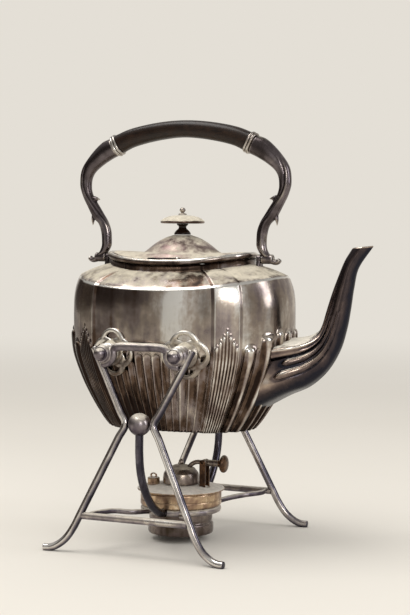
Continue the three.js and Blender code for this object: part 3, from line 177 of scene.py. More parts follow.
def mark(mesh, name, values, kind="FLOAT"):
    """A value or a direction kept at each point of a mesh."""
    kept = mesh.attributes.get(name) or mesh.attributes.new(name, kind, "POINT")
    kept.data.foreach_set("value" if kind == "FLOAT" else "vector", np.asarray(values, np.float32).ravel())


def read_points(mesh, field="co"):
    """The places or the normals of a mesh's points."""
    values = np.empty(len(mesh.vertices) * 3)
    mesh.vertices.foreach_get(field, values)
    return values.reshape(-1, 3)


def wear_and_light_of(mesh, values):
    """How much a cloth rubs each point, with painted light and shade: 1 on an edge or a lit side, 0 on a plain face,
    below 0 in a hollow or in painted shade.
    """
    mark(mesh, "rub_and_light", values)


def worn_by_form(mesh, strength, base=0.0, rounds=3):
    """Wear from the form itself: what stands out is rubbed, what lies in is not."""
    count = len(mesh.vertices)
    pairs = np.empty(len(mesh.edges) * 2, np.int32)
    mesh.edges.foreach_get("vertices", pairs)
    pairs = pairs.reshape(-1, 2)
    place, normal = read_points(mesh) * 1000, read_points(mesh, "normal")
    near = np.bincount(pairs.ravel(), minlength=count)

    def around(values):
        return sum(np.bincount(pairs[:, a], values[pairs[:, 1 - a]], count) for a in (0, 1)) / np.maximum(near, 1)

    centre = place
    for _ in range(rounds):
        centre = np.column_stack([around(centre[:, i]) for i in range(3)])
    out = ((place - centre) * normal).sum(axis=1)
    wear_and_light_of(mesh, np.clip(base + strength * around(around(out)), -1, 1))


def lit_and_worn_by_facing(mesh, lit_and_rubbed_from, base, strength, sides=True):
    """Painted light and shade, with some wear: lighter on what faces one way, darker on what faces away; with sides,
    from the front and the back.
    """
    normal = read_points(mesh, "normal")
    if sides:
        normal[:, 1] = np.abs(normal[:, 1])
    wear_and_light_of(mesh, base + strength * np.clip(normal @ unit(lit_and_rubbed_from), 0, 1) ** 1.5)


def settle(name, mesh, finish, body, nodes, smooth=40):
    """The object of a finished mesh: shading, material, body and CAD nodes."""
    mesh.name = name
    mesh.materials.clear()
    mesh.materials.append(finish)
    mesh.shade_smooth()
    if smooth:
        mesh.set_sharp_from_angle(angle=math.radians(smooth))
    made = bpy.data.objects.new(name, mesh)
    bpy.context.scene.collection.objects.link(made)
    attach(made, body)
    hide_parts(*nodes)
    return made


def curve_through(places, values, at):
    """A smooth curve through table values, without overshoot."""
    x, y, at = (np.asarray(v, float) for v in (places, values, at))
    slope = np.diff(y) / np.diff(x)
    tangent = np.concatenate([[slope[0]], (slope[1:] + slope[:-1]) / 2, [slope[-1]]])
    turn = np.concatenate([[False], slope[1:] * slope[:-1] <= 0, [False]])
    tangent[turn] = 0
    least = 3 * np.minimum(np.abs(np.concatenate([slope[:1], slope])), np.abs(np.concatenate([slope, slope[-1:]])))
    tangent = np.clip(tangent, -least, least)
    k = np.clip(np.searchsorted(x, at, side="right") - 1, 0, len(x) - 2)
    h = x[k + 1] - x[k]
    t = np.clip((at - x[k]) / h, 0, 1)
    return (
        (1 + 2 * t) * (1 - t) ** 2 * y[k]
        + t * (1 - t) ** 2 * h * tangent[k]
        + t * t * (3 - 2 * t) * y[k + 1]
        + t * t * (t - 1) * h * tangent[k + 1]
    )


def circle(count):
    """Angles round a full turn."""
    return np.linspace(0, 2 * math.pi, count, endpoint=False)


def round_section(radius, out=0.0, up=0.0, count=28):
    """The outline of a round wire, as pairs of out and up."""
    return [(out + radius * math.cos(a), up + radius * math.sin(a)) for a in circle(count)]


def rising(value, start, over):
    """0 up to a start, and 1 from some way past it."""
    return np.clip((value - start) / over, 0, 1)


def falling(value, end, over):
    """0 from an end on, and 1 up to some way before it."""
    return np.clip((end - value) / over, 0, 1)


def peak(value, at, wide):
    """1 at a place, and less and less away from it on both sides."""
    return np.exp(-(((value - at) / wide) ** 2))


def unit(way):
    """A direction of length 1."""
    return way / np.linalg.norm(way)


def through(places, at):
    """A smooth line through places of two measures, at stations counted along them."""
    return np.column_stack([curve_through(np.arange(len(places)), [p[i] for p in places], at) for i in (0, 1)])


def skin(rings, closed=False):
    """Faces between rings of points, which may differ in their counts, and a pole for a ring of one."""
    starts = np.cumsum([0] + [len(ring) for ring in rings]).tolist()
    faces = []
    for a in range(len(rings) if closed else len(rings) - 1):
        b = (a + 1) % len(rings)
        n, m = len(rings[a]), len(rings[b])
        if n == m:
            for i in range(n):
                j = (i + 1) % n
                faces.append((starts[a] + i, starts[a] + j, starts[b] + j, starts[b] + i))
        elif n == 1 or m == 1:
            pole, ring, count = (a, b, m) if n == 1 else (b, a, n)
            for i in range(count):
                faces.append((starts[ring] + i, starts[ring] + (i + 1) % count, starts[pole]))
        else:
            i = j = 0
            while i < n or j < m:
                if j >= m or (i < n and (i + 1) / n <= (j + 1) / m):
                    faces.append((starts[a] + i % n, starts[a] + (i + 1) % n, starts[b] + j % m))
                    i += 1
                else:
                    faces.append((starts[a] + i % n, starts[b] + (j + 1) % m, starts[b] + j % m))
                    j += 1
    return np.vstack(rings), faces


body_length, body_width, plan_power = 88.6, 60.0, 2.2
base_z, body_height, edge_sag = 87.0, 115.0, 9.0
profile_heights = [0, 0.04, 0.096, 0.157, 0.217, 0.287, 0.352, 0.417, 0.478, 0.548, 0.609, 0.722, 0.817, 0.913, 1]
profile_reaches = [0.643, 0.688, 0.739, 0.79, 0.835, 0.883, 0.92, 0.954, 0.98, 0.995, 1, 1, 0.999, 0.984, 0.944]
bead_length, bead_width, bead_radius, bead_middle, bead_rise = 56.9, 38.9, 2.3, 212.3, 5.7
band_x, band_y, band_raise, band_bevel = 47.5, 41.5, 1.5, 0.13
rear_share = 0.972  # the end away from the spout was raised a little shorter
flute_top, hollow_top, reed_low, reed_peak = 146.0, 151.0, 152.0, 164.0


def plan(angle, reach, width, grow=0.0):
    """Points of the oval at angles round it, stood off by grow, with their outward directions."""
    c, s = np.cos(angle), np.sin(angle)
    x = np.sign(c) * np.abs(c) ** (2 / plan_power)
    y = np.sign(s) * np.abs(s) ** (2 / plan_power)
    nx = np.sign(x) * np.abs(x) ** (plan_power - 1) / reach
    ny = np.sign(y) * np.abs(y) ** (plan_power - 1) / width
    size = np.hypot(nx, ny)
    return reach * x + grow * nx / size, width * y + grow * ny / size, nx / size, ny / size


def reach_at(z):
    """How far the body reaches from its middle to its end at a height."""
    share = np.clip((np.asarray(z, float) - base_z) / body_height, 0, 1)
    return body_length * curve_through(profile_heights, profile_reaches, share)


def angle_of_x(x):
    """The angle on the near side at a place along the body."""
    return math.acos(math.copysign(min(1, abs(x) / body_length) ** (plan_power / 2), x))


def angle_of_y(y):
    """The angle on the spout's end at a place across the body."""
    return math.asin(math.copysign(min(1, abs(y) / body_width) ** (plan_power / 2), y))


def bead_z(angle):
    """The height of the bead's middle, which dips at mid length."""
    return bead_middle + bead_rise * np.cos(angle) ** 2


def edge_z(angle):
    """The height of the body's upper edge, which dips the same way."""
    return base_z + body_height - edge_sag * np.sin(angle) ** 2


# Each column of the mesh: its angle, place across its flute or reed from -1
# to 1, kind, height of that flute's end, and whether it is on a band
PLAIN, FLUTE, REED, BOLD = 0, 1, 2, 3
columns = []


def columns_across(start, end, count, kind, top, raised, arch):
    """The columns of one flute or reed, whose end is an arch of a height."""
    for i in range(count):
        u = -1 + 2 * (i + 0.5) / count
        lift = arch * (math.sqrt(1 - u * u) - 1)
        columns.append((start + (end - start) * (u + 1) / 2, u, kind, top + lift, raised))


def long_panel(turn):
    """Hollow flutes with sharp edges between them and scalloped tops."""
    flutes = 13
    edges = [turn + angle_of_x(band_x * (1 - 2 * i / flutes)) for i in range(flutes + 1)]
    for a, b in zip(edges, edges[1:]):
        columns_across(a, b, 13, FLUTE, flute_top, 0.0, 3.4)


def band(start, end):
    """A standing band with broad bevelled edges, and seven reeds stepped up to a point."""
    bevel = [band_bevel * k / 6 for k in range(7)]
    for share in bevel:
        columns.append((start + (end - start) * share, -1.0, PLAIN, reed_low, share / band_bevel))
    reeds, first, room = 7, band_bevel + 0.008, 0.984 - 2 * band_bevel
    for i in range(reeds):
        top = reed_peak + (reed_low - reed_peak) * abs(i - 3) / 3
        a, b = (start + (end - start) * (first + room * k / reeds) for k in (i, i + 1))
        columns_across(a, b, 9, REED, top, 1.0, 1.6)
    for share in bevel[::-1]:
        columns.append((end - (end - start) * share, 1.0, PLAIN, reed_low, share / band_bevel))


def end_panel(turn):
    """Bold reeds, higher towards the middle, with hollow flutes between them."""
    reeds = [(-0.9, 151.5, 0.072), (-0.635, 159.5, 0.12), (-0.375, 163, 0.095), (-0.125, 163, 0.095)]
    reeds += [(-middle, top, half) for middle, top, half in reeds[::-1]]
    last = 0.995
    edge = -last
    for middle, top, half in reeds + [(1.07, 0, 0.075)]:
        a, b = (turn + angle_of_y(band_y * s) for s in (edge, min(middle - half, last)))
        columns_across(a, b, 7, FLUTE, hollow_top, 0.0, 1.2)
        if top:
            a, b = (turn + angle_of_y(band_y * s) for s in (middle - half, middle + half))
            columns_across(a, b, 12, BOLD, top, 0.0, 2.6)
        edge = middle + half


end_angle, long_angle = angle_of_y(band_y), angle_of_x(band_x)
for half_turn in (0, math.pi):
    band(half_turn + end_angle, half_turn + long_angle)
    long_panel(half_turn)
    band(half_turn + math.pi - long_angle, half_turn + math.pi - end_angle)
    end_panel(half_turn + math.pi)

angle, across, kind, top, raised = (np.array(v, float) for v in zip(*columns))
rings, marks = [], []


def body_ring(reach, z, below, grow=0.0, width=None, way=angle):
    """A ring of the body's skin; below is how far its points lie under their flute's end."""
    x, y, nx, ny = plan(way, reach, reach * body_width / body_length if width is None else width, grow)
    rings.append(np.column_stack([x, y, np.broadcast_to(z, len(way))]))
    marks.append(np.column_stack([nx, ny, np.full(len(way), 1.0) * below]))


bottom_rise, fold, standing = 1.6, 0.6, raised * band_raise
for share in (0.35, 0.97):  # the bottom, let in a little
    body_ring(reach_at(base_z) * share, base_z + bottom_rise * (1 - share**8), -9)
dense = 5.0
row_falls = [np.maximum(top - dense - base_z, 1) * (1 - s) + dense for s in np.linspace(0, 1, 24)]
row_falls += [4.2, 3.5, 2.9, 2.4, 1.9, 1.5, 1.1, 0.75, 0.45, 0.2, 0.05]
for fall in row_falls:
    body_ring(reach_at(top - fall), top - fall, fall, standing)
for share in [*np.linspace(0, 0.985, 14), 1.0]:
    z = top + (edge_z(angle) - fold - top) * share
    body_ring(reach_at(z), z, -1, standing)
edge_reach = reach_at(edge_z(angle))
for lean in (22, 45, 68):
    lean = math.radians(lean)
    z = edge_z(angle) - fold + fold * math.sin(lean)
    body_ring(edge_reach, z, -1, standing - fold * (1 - math.cos(lean)))
neck_length, neck_width, neck_gap, neck_tall = bead_length + 0.8, bead_width + 0.8, 0.3, 4.5
neck_top = bead_z(angle) - bead_radius - neck_gap
neck_foot = neck_top - neck_tall
for share in (0.05, 0.12, 0.2, 0.3, 0.4, 0.5, 0.6, 0.7, 0.8, 0.88, 0.94, 0.98):
    rise = 0.08 + 0.92 * (1 - (1 - share) ** 1.5)
    reach = edge_reach + (neck_length - edge_reach) * share
    width = edge_reach * body_width / body_length
    width = width + (neck_width - width) * share
    z = edge_z(angle) + (neck_foot - edge_z(angle)) * rise
    body_ring(reach, z, -1, standing * (1 - share**4) - fold * (1 - share) * 0.6, width)
for z in (neck_foot + 0.6, neck_top):
    body_ring(neck_length, z, -1, width=neck_width)

# The inside, from the neck down to the floor, a sheet's thickness in
liner, sheet_metal, floor_rise = circle(160) + angle[0], 1.6, 2.2
liner_top, liner_edge = bead_z(liner) - bead_radius, edge_z(liner)
for z in (liner_top - neck_gap, liner_top - neck_gap - neck_tall - 1.8):
    body_ring(neck_length - sheet_metal, z, -9, width=neck_width - sheet_metal, way=liner)
for share in (0.55, 0.12):
    reach = reach_at(liner_edge)
    z = liner_edge + (liner_top - 6.6 - liner_edge) * (1 - share) - 1.9
    width = neck_width + (reach * body_width / body_length - neck_width) * share
    body_ring(neck_length + (reach - neck_length) * share, z, -9, -1.5, width, liner)
for share in (0.0, 0.1, 0.25, 0.4, 0.55, 0.68, 0.8, 0.9, 0.97, 1.0):
    z = liner_edge - 3.6 + (base_z + floor_rise - liner_edge + 3.6) * share
    body_ring(reach_at(z), z, -9, -2.7, way=liner)
rings = [np.array([[0, 0, base_z + bottom_rise]]), *rings, np.array([[0, 0, base_z + floor_rise]])]
marks = np.vstack([[0, 1, -9.0], *marks, [0, 1, -9.0]])
points, faces = skin(rings)
points[:, 0] *= np.where(points[:, 0] < 0, rear_share, 1)
u_place, sort, stand, fold_z = np.zeros((4, len(points)))
neck_z = np.full(len(points), np.inf)
row = 1
for ring in rings[1:-1]:
    if len(ring) == len(angle):
        mine = slice(row, row + len(ring))
        under = rising(top - ring[:, 2], 3, 22) * (kind == BOLD)  # bold reeds narrow downwards
        u_place[mine], sort[mine], stand[mine] = np.clip(across * (1 + 0.75 * under), -1, 1), kind, raised
        fold_z[mine], neck_z[mine] = edge_z(angle) - 0.3, neck_foot
    row += len(ring)

outer = marks[:, 2] > -5
along, _, height = points.T
below = np.clip(marks[:, 2] / 6, 0, 1)
bevels = 1.1 * peak(stand, 1, 0.14) + 0.3 * peak(stand, 0, 0.12) - 0.35
bevelled = np.where((sort == PLAIN) & outer, bevels, 0.0)
folded = np.where(outer, 1.5 * peak(height, fold_z, 0.5), 0.0)
# The end by the spout is lighter than the rear: partly handled and wiped more, partly a painted
# reflection of the window on that side; the bands' reeds there are lighter towards their tops than what lies between
# them, a painted reflection too
wiped_and_painted_light = curve_through(
    [-89, -68, -63, -51, -46, -20, 4, 20, 40, 50, 68, 78, 89],
    [-0.3, -0.35, 0.0, 0.0, -0.4, -0.25, 0.1, 0.9, 0.6, 0.5, 0.5, 0.15, 0.1],
    along,
)
band_painted_reflection = np.where((sort == REED) & outer & (along > 0), rising(height, 172, 20) * 0.9 - 0.3, 0.0)
on_shoulder = rising(height - fold_z, 0.4, 0.6) * (fold_z > 0)
swept_clean = curve_through(
    [-89, 10, 20, 36, 42, 60, 70, 89], [-0.1, -0.1, -0.65, -0.65, -0.05, -0.05, -0.2, -0.1], along
)
# Over the shoulder the swept-clean table takes over, and the neck under the bead is darkened: a painted shade
wiped_and_painted_light = (wiped_and_painted_light + band_painted_reflection) * (1 - on_shoulder) + swept_clean * on_shoulder - 0.6 * rising(height, neck_z, 1.2)
# Lower down the body is darker towards the bottom and at the rear end: painted shade
rear_painted_shade = curve_through([-89, -50, -36, 89], [-1.0, -1.25, 0, 0], along)
lower_half_with_shade = 0.7 * wiped_and_painted_light + rear_painted_shade - 0.32 - 0.4 * falling(height, 130, 40)
wiped_and_painted_light = np.where(outer, wiped_and_painted_light * (1 - below) + lower_half_with_shade * below, 0.0)

plain = mesh_of("body_plain", points, faces)
for name, values in (("across", u_place), ("kind", sort), ("below", marks[:, 2])):
    mark(plain, name, values)
mark(plain, "outward", np.column_stack([marks[:, :2], np.zeros(len(marks))]), "FLOAT_VECTOR")
mark(plain, "edge", bevelled + folded + wiped_and_painted_light)


def shape_tree(name, sizes):
    """An empty node tree that takes geometry and named sizes."""
    tree = bpy.data.node_groups.new(name, "GeometryNodeTree")
    tree.interface.new_socket("Geometry", in_out="INPUT", socket_type="NodeSocketGeometry")
    for size, value in sizes.items():
        socket = tree.interface.new_socket(size, in_out="INPUT", socket_type="NodeSocketFloat")
        socket.default_value = value
    tree.interface.new_socket("Geometry", in_out="OUTPUT", socket_type="NodeSocketGeometry")
    return tree, node(tree, "NodeGroupInput"), node(tree, "NodeGroupOutput")


def finish_tree(tree, out, geometry, material):
    """Realize Instances and Set Material, then the output."""
    smooth = node(tree, "GeometryNodeSetShadeSmooth", {"Geometry": geometry})
    real = node(tree, "GeometryNodeRealizeInstances", {"Geometry": smooth.outputs[0]})
    painted = node(tree, "GeometryNodeSetMaterial", {"Geometry": real.outputs[0], "Material": material})
    tree.links.new(painted.outputs[0], out.inputs["Geometry"])


def evaluated(source):
    """The mesh that an object's modifiers make; the object and its modifiers go."""
    graph = bpy.context.evaluated_depsgraph_get()
    mesh = bpy.data.meshes.new_from_object(source.evaluated_get(graph), depsgraph=graph)
    source.modifiers.clear()
    bpy.data.objects.remove(source)
    return mesh


def shaped(name, data, tree, sizes):
    """The mesh that a node tree makes of a mesh or curve, with these sizes."""
    source = bpy.data.objects.new(name, data)
    bpy.context.scene.collection.objects.link(source)
    modifier = source.modifiers.new("Shape", "NODES")
    modifier.node_group = tree
    for item in tree.interface.items_tree:
        if item.item_type == "SOCKET" and item.in_out == "INPUT" and item.name in sizes:
            modifier[item.identifier] = sizes[item.name]
    return evaluated(source)


def plated(
    name, film, patch, gloss, tarnish, uneven=0.3, streak=0.3, dust="#cfc6b2", dusty=0.0, dents=0.3, dust_from=1.12
):
    """Electroplated silver or bare brass, tarnished in patches of a size in mm.

    The film thickens through five colours, from clean metal by straw, lilac and
    brown to near black. Edges that a cloth reaches stay clean, hollows stay dark,
    and dry dust lies on what faces up."""
    made, tree, place = new_material(name)
    normal = node(tree, "ShaderNodeTexCoord").outputs["Normal"]
    facing_up = node(tree, "ShaderNodeSeparateXYZ", {0: normal}).outputs[2]
    # This value carries wear and also painted light and shade: the film is lighter where it is high and darker where it
    # is low
    rub_and_light = node(tree, "ShaderNodeAttribute", attribute_name="rub_and_light").outputs["Fac"]
    patches = noise(tree, place, patch, 5, 0.55, 0.6)
    drawn = node(tree, "ShaderNodeVectorMath", {0: place, 1: (1.0, 1.0, 0.12)}, operation="MULTIPLY").outputs[0]
    fine = noise(tree, place, 3.2, 3, 0.6)
    mottled = mix(tree, 0.12, mix(tree, streak, patches, noise(tree, drawn, patch * 0.2, 3)), fine)
    spread = ranged(tree, mottled, 0.34, 0.66, tarnish - uneven, tarnish + uneven)
    filmed = maths(tree, "MULTIPLY_ADD", rub_and_light, -0.45, spread, clamp=True)
    film_colour = ramp(tree, filmed, list(zip((0.06, 0.28, 0.46, 0.68, 0.95), film)))
    lean = maths(tree, "MULTIPLY_ADD", noise(tree, place, 11, 6, 0.72), 1.1, facing_up)
    brushed = maths(tree, "MULTIPLY_ADD", maths(tree, "ABSOLUTE", rub_and_light), -0.34, lean)
    lying = ranged(tree, brushed, dust_from, dust_from + 0.36, 0.0, dusty, "SMOOTHSTEP")
    thin_dust = (*[0.82 * c for c in linear(dust)[:3]], 1)
    powder = mix(tree, ranged(tree, fine, 0.36, 0.6), thin_dust, linear(dust), "RGBA")
    hazy = maths(tree, "MULTIPLY_ADD", filmed, 0.08, ranged(tree, patches, 0.35, 0.65, gloss, gloss + 0.12))
    look = {
        "Base Color": mix(tree, lying, film_colour, powder, "RGBA"),
        "Metallic": maths(tree, "SUBTRACT", 1.0, lying),
        "Roughness": mix(tree, lying, hazy, 0.9),
        "Normal": bumpy(tree, dents, 0.001, noise(tree, place, 17, 1)),
    }
    surface(tree, look)
    return made


# Raised and chased sheet, silver-plated: brown-black in patches and upright
# streaks, mirror-like between them, with dry cream dust on the shoulder
body_film = ("#dbd8d2", "#aa9e92", "#887d7a", "#5b4a3e", "#271e1a")
body_plate = plated("tarnished_silver_plate", body_film, 38, 0.13, 0.47, 0.34, 0.4, dust="#cdc4b0", dusty=0.92)

ends = {"Flute End": 0.0026, "Reed End": 0.0015, "Bold Reed End": 0.003}
tree, given, out = shape_tree(
    "Fluting", {"Flute Depth": 0.0011, "Reed Height": 0.0009, "Bold Reed Height": 0.0019, **ends}
)
kinds, width_place, fall_mm, edges = (
    node(tree, "GeometryNodeInputNamedAttribute", {"Name": name}, data_type="FLOAT").outputs[0]
    for name in ("kind", "across", "below", "edge")
)
direction = node(tree, "GeometryNodeInputNamedAttribute", {"Name": "outward"}, data_type="FLOAT_VECTOR").outputs[0]
square = maths(tree, "MULTIPLY", width_place, width_place)
bowl = maths(tree, "SUBTRACT", 1.0, square)
round_top = maths(tree, "SQRT", bowl)
patches = noise(tree, node(tree, "GeometryNodeInputPosition").outputs[0], 14, 3.0, 0.6)
patch_share = ranged(tree, patches, 0.32, 0.62, 0.25, 1.25)
reliefs, rubs = [], []
# Each form with its sign, its share of height near its end, and where across it the film is lighter:
# the line, how wide, how light there and away, and the tip. On flute edges this is wear; on the reeds it is partly
# crest wear and partly a painted highlight, a thin bright line with dark flanks
for number, depth, end_size, form, sign, shallow, (line_at, wide, lit_and_worn, unlit_and_unworn, tip) in (
    (FLUTE, "Flute Depth", "Flute End", bowl, -1.0, 1.0, (1.0, 0.2, 1.8, -0.4, 0.4)),
    (REED, "Reed Height", "Reed End", round_top, 1.0, 0.6, (0.0, 0.5, 1.2, -0.75, 0.9)),
    (BOLD, "Bold Reed Height", "Bold Reed End", round_top, 1.0, 1.0, (0.05, 0.3, 0.9, -0.95, 1.2)),
):
    mine = maths(tree, "COMPARE", kinds, float(number), 0.1)
    end_mm = maths(tree, "MULTIPLY", given.outputs[end_size], 1000.0)
    left = maths(tree, "DIVIDE", fall_mm, end_mm, clamp=True)
    back = maths(tree, "SUBTRACT", 1.0, left)
    round_end = maths(tree, "SQRT", maths(tree, "SUBTRACT", 1.0, maths(tree, "MULTIPLY", back, back)))
    crisp = ranged(tree, fall_mm, 8.0, 55.0, shallow, 1.0)
    reliefs.append(together(tree, "MULTIPLY", form, round_end, mine, crisp, sign, given.outputs[depth]))
    away = maths(tree, "ABSOLUTE", maths(tree, "SUBTRACT", square, line_at))
    level = ranged(tree, away, 0.0, wide, lit_and_worn, unlit_and_unworn)
    patchy = together(tree, "MULTIPLY", level, patch_share, crisp)
    level = maths(tree, "ADD", patchy, ranged(tree, fall_mm, 0.6, 3.6, tip, 0.0))
    rubs.append(maths(tree, "MULTIPLY", level, maths(tree, "MULTIPLY", left, mine)))
relief = {0: direction, "Scale": together(tree, "ADD", *reliefs)}
push = node(tree, "ShaderNodeVectorMath", relief, operation="SCALE").outputs[0]
moved = node(tree, "GeometryNodeSetPosition", {"Geometry": given.outputs[0], "Offset": push}).outputs[0]
rub_and_light = {"Geometry": moved, "Name": "rub_and_light", "Value": together(tree, "ADD", *rubs, edges)}
kept = node(tree, "GeometryNodeStoreNamedAttribute", rub_and_light, data_type="FLOAT", domain="POINT")
finish_tree(tree, out, kept.outputs[0], body_plate)
body_sizes = {"Flute Depth": 0.0018, "Reed Height": 0.00085, "Bold Reed Height": 0.0019}
body_mesh = shaped("body_plain", plain, tree, body_sizes)
whole(body_mesh)
settle("kettle_body_plate", body_mesh, body_plate, "kettle", ["kettle_body"], smooth=0)

# ---------------------------------------------------------------------------
# Spout. Cast in two halves and soldered to the end of the body: a wide root
# with a flat top, two round-ended ribs on each side that die out half way up,
# and a pointed lip. The plating has gone blue-black.

spout_low = [
    (66, 102), (88.4, 114.3), (105, 122), (118, 133.4), (127.5, 149), (132.5, 165), (135.3, 180),
    (137.5, 195), (141, 209.5), (152, 225.3)
]
spout_high = [
    (67.7, 156), (90.9, 157.4), (103.8, 159.4), (110.9, 163), (113.9, 168), (117, 178.4), (121, 190.9),
    (125.3, 202.2), (130.5, 214.6), (136, 223.5)
]
spout_halves = [26, 22.6, 15.6, 11, 8.9, 8, 7.2, 6.6, 6, 4.8]
root_across = [0, 0.56, 0.88, 0.98, 0.97, 0.95, 0.94, 0.9, 1.02, 1.03, 0.55, 0]
root_rise = [-1, -0.88, -0.6, -0.38, -0.2, -0.02, 0.18, 0.36, 0.42, 0.68, 0.86, 1]
root_form = [1, 1, 0.92, 0.7, 0.5, 0.3, 0.14, 0.05, 0, 0]


def spout_point(k, t, shrink=0.0, plain=False):
    """Points at places k along the spout and t round one half, from -1 below to 1 on top, and their wear."""
    steps = range(10)
    low, high, half = through(spout_low, k), through(spout_high, k), curve_through(steps, spout_halves, k)
    form = 0 if plain else curve_through(steps, root_form, k)
    middle, up = (low + high) / 2, (high - low) / 2
    tall = np.hypot(up[:, 0], up[:, 1])
    up = up / tall[:, None]
    corners = np.linspace(-1, 1, 12)
    across = np.cos(t * math.pi / 2) * (1 - form) + curve_through(corners, root_across, t) * form
    rise = np.sin(t * math.pi / 2) * (1 - form) + curve_through(corners, root_rise, t) * form
    relief, wear = np.zeros(len(k)), np.full(len(k), -0.1)
    wear += 0.8 * falling(k, 2.6, 2) * peak(rise, -0.3, 0.3) - 0.9 * peak(rise, -0.95, 0.3)
    if not plain:
        # Two ribs: where across, half width, height, and where each starts and ends
        for at, wide, high_by, first, last in ((0.17, 0.125, 1.9, 1.0, 5.2), (-0.22, 0.145, 2.1, 0.78, 5.6)):
            u = (rise - at) / wide
            before = np.maximum(1 - (k - first) / 0.34, 0)
            from_middle = np.hypot(u, before)
            fade = falling(k, last, 2.8) ** 0.8
            rib = high_by * np.sqrt(np.clip(1 - from_middle**2, 0, 1))
            relief += fade * (rib - 0.5 * peak(from_middle, 1.15, 0.3))
            wear += fade * (0.9 * peak(u, 0.4, 0.45) * (before < 0.8) - 0.5 * peak(from_middle, 1.2, 0.25))
        slab = falling(k, 6.4, 3.5)
        groove = peak(rise, 0.385, 0.035) * slab
        lip = peak(rise, 0.66, 0.05) * slab
        line = peak(rise, 0.53, 0.025) * slab * rising(k, 1.6, 0.6)
        relief += 0.35 * lip - 1.1 * groove - 0.5 * line
        wear += 1.5 * lip - 1.1 * groove - 0.9 * line + 0.6 * peak(rise, 0.47, 0.06) * slab
        wear += 0.35 * peak(np.abs(t), 0.06, 0.05) * rising(k, 4, 2)
    beak = np.where(t < 0, 1 - 0.55 * np.clip(k - 7.6, 0, 1.4) * rise**2 / 1.4, 1)
    across = across * np.maximum((half - shrink) * beak, 0.2) + relief * np.clip(across, 0, 1) ** 0.3
    x, z = (middle[:, i] + up[:, i] * (tall - shrink) * rise for i in (0, 1))
    return np.column_stack([x, across, z]), wear


spout_end, way_out, way_in, bore_wear = 9, 150, 40, -0.5
long_way = np.linspace(0, spout_end, 400)


def leaves_body(t, grow, *form):
    """Where a line along the spout comes out of the body's side."""
    x, y, z = spout_point(long_way, np.full(len(long_way), t), *form)[0].T
    reach = reach_at(z) + grow
    width = reach * body_width / body_length
    outside = (np.abs(x) / reach) ** plan_power + (np.abs(y) / width) ** plan_power > 1
    return long_way[np.argmax(outside)]


outer_half, inner_half = [], []
for t in np.linspace(-1, 1, 91):
    start = leaves_body(t, -0.7)
    along = start + (spout_end - start) * np.linspace(0, 1, way_out) ** 1.2
    outer_half.append(np.column_stack(spout_point(along, np.full(way_out, t))))
    start = leaves_body(t, -2.0, 1.5, True)
    along = spout_end - (spout_end - start) * np.linspace(0, 1, way_in)
    place, _ = spout_point(along, np.full(way_in, t), 1.3, True)
    inner_half.append(np.column_stack([place, np.full(way_in, bore_wear)]))


def both_halves(columns):
    """Columns from below to the top on one side, and back down on the other."""
    return np.array(columns + [column * [1, -1, 1, 1] for column in columns[-2:0:-1]])


outer, inner = both_halves(outer_half), both_halves(inner_half)
lip = (outer[:, -1] + inner[:, 0]) / 2 + [0.1, 0, 0.5, 1.0]
outer[:, -1, 3] = 1.2
rings = [*outer.swapaxes(0, 1), lip, *inner.swapaxes(0, 1)]
points, faces = skin(rings, closed=True)
# Cast and plated, almost unpolished since: a blue-black film with thin pale
# lines along the ribs, and dust on the root's flat top
spout_film = ("#d8d2ca", "#a89788", "#7a6b65", "#4a4141", "#292931")
spout_plate = plated("blackened_silver_plate", spout_film, 30, 0.14, 0.65, 0.2, 0.3, dust="#f0e9da", dusty=0.97)
place, rub_and_light = points[:, :3], points[:, 3]
put("spout_casting", place, faces, spout_plate, "kettle", ["spout"], "tarnished_silver", smooth=50, rub_and_light=rub_and_light)

# ---------------------------------------------------------------------------
# Gallery. A hollow rolled bead round the mouth, dipping at mid length, with
# the narrow ledge inside it that the lid comes down on. Rolled sheet, plated.


def closed_ring(reach, width, outline, height, count=200):
    """A closed strip that follows an oval, from an outline of (out, up)."""
    turn = circle(count)
    hoops = []
    for grow, up in outline:
        x, y, _, _ = plan(turn, reach, width, grow)
        hoops.append(np.column_stack([x, y, height(turn) + up]))
    return skin(hoops, closed=True)


def rounded(outline, size, closed, steps=4):
    """An outline with its corners turned into small arcs."""
    made = []
    for i, corner in enumerate(outline):
        if not closed and i in (0, len(outline) - 1):
            made.append(corner)
            continue
        a, b = (np.subtract(outline[(i + k) % len(outline)], corner) for k in (-1, 1))
        long_a, long_b = np.linalg.norm(a), np.linalg.norm(b)
        cut = min(size, 0.45 * long_a, 0.45 * long_b)
        for t in np.linspace(0, 1, steps + 1):
            made.append(np.asarray(corner) + (1 - t) ** 2 * cut * a / long_a + t * t * cut * b / long_b)
    return [(float(r), float(h)) for r, h in made]


def joined(*parts):
    """Several shells, each points and faces, as one."""
    points, faces, start = [], [], 0
    for some, around in parts:
        points.append(some)
        faces += [tuple(i + start for i in face) for face in around]
        start += len(some)
    return np.vstack(points), faces


def mirrored(part, sides):
    """A shell repeated on each of the sides, given as signs of x and y."""
    return joined(*[(part[0] * [sx, sy, 1], part[1]) for sx, sy in sides])


roll = round_section(bead_radius)
ledge = rounded([(-1.4, -2.2), (-1.4, -0.7), (-5.5, -0.7), (-5.5, -2.2)], 0.3, True)
# Polished sheet and wire that hands and cloths reach: pale, warm, lightly filmed
bright_film = ("#dddad5", "#b7ada1", "#8e8482", "#5e5048", "#2c2524")
bright_plate = plated("rubbed_silver_plate", bright_film, 16, 0.14, 0.32, 0.26, 0.15, dusty=0.6)
points, faces = joined(
    closed_ring(bead_length, bead_width, roll, bead_z, 260), closed_ring(bead_length, bead_width, ledge, bead_z, 160)
)
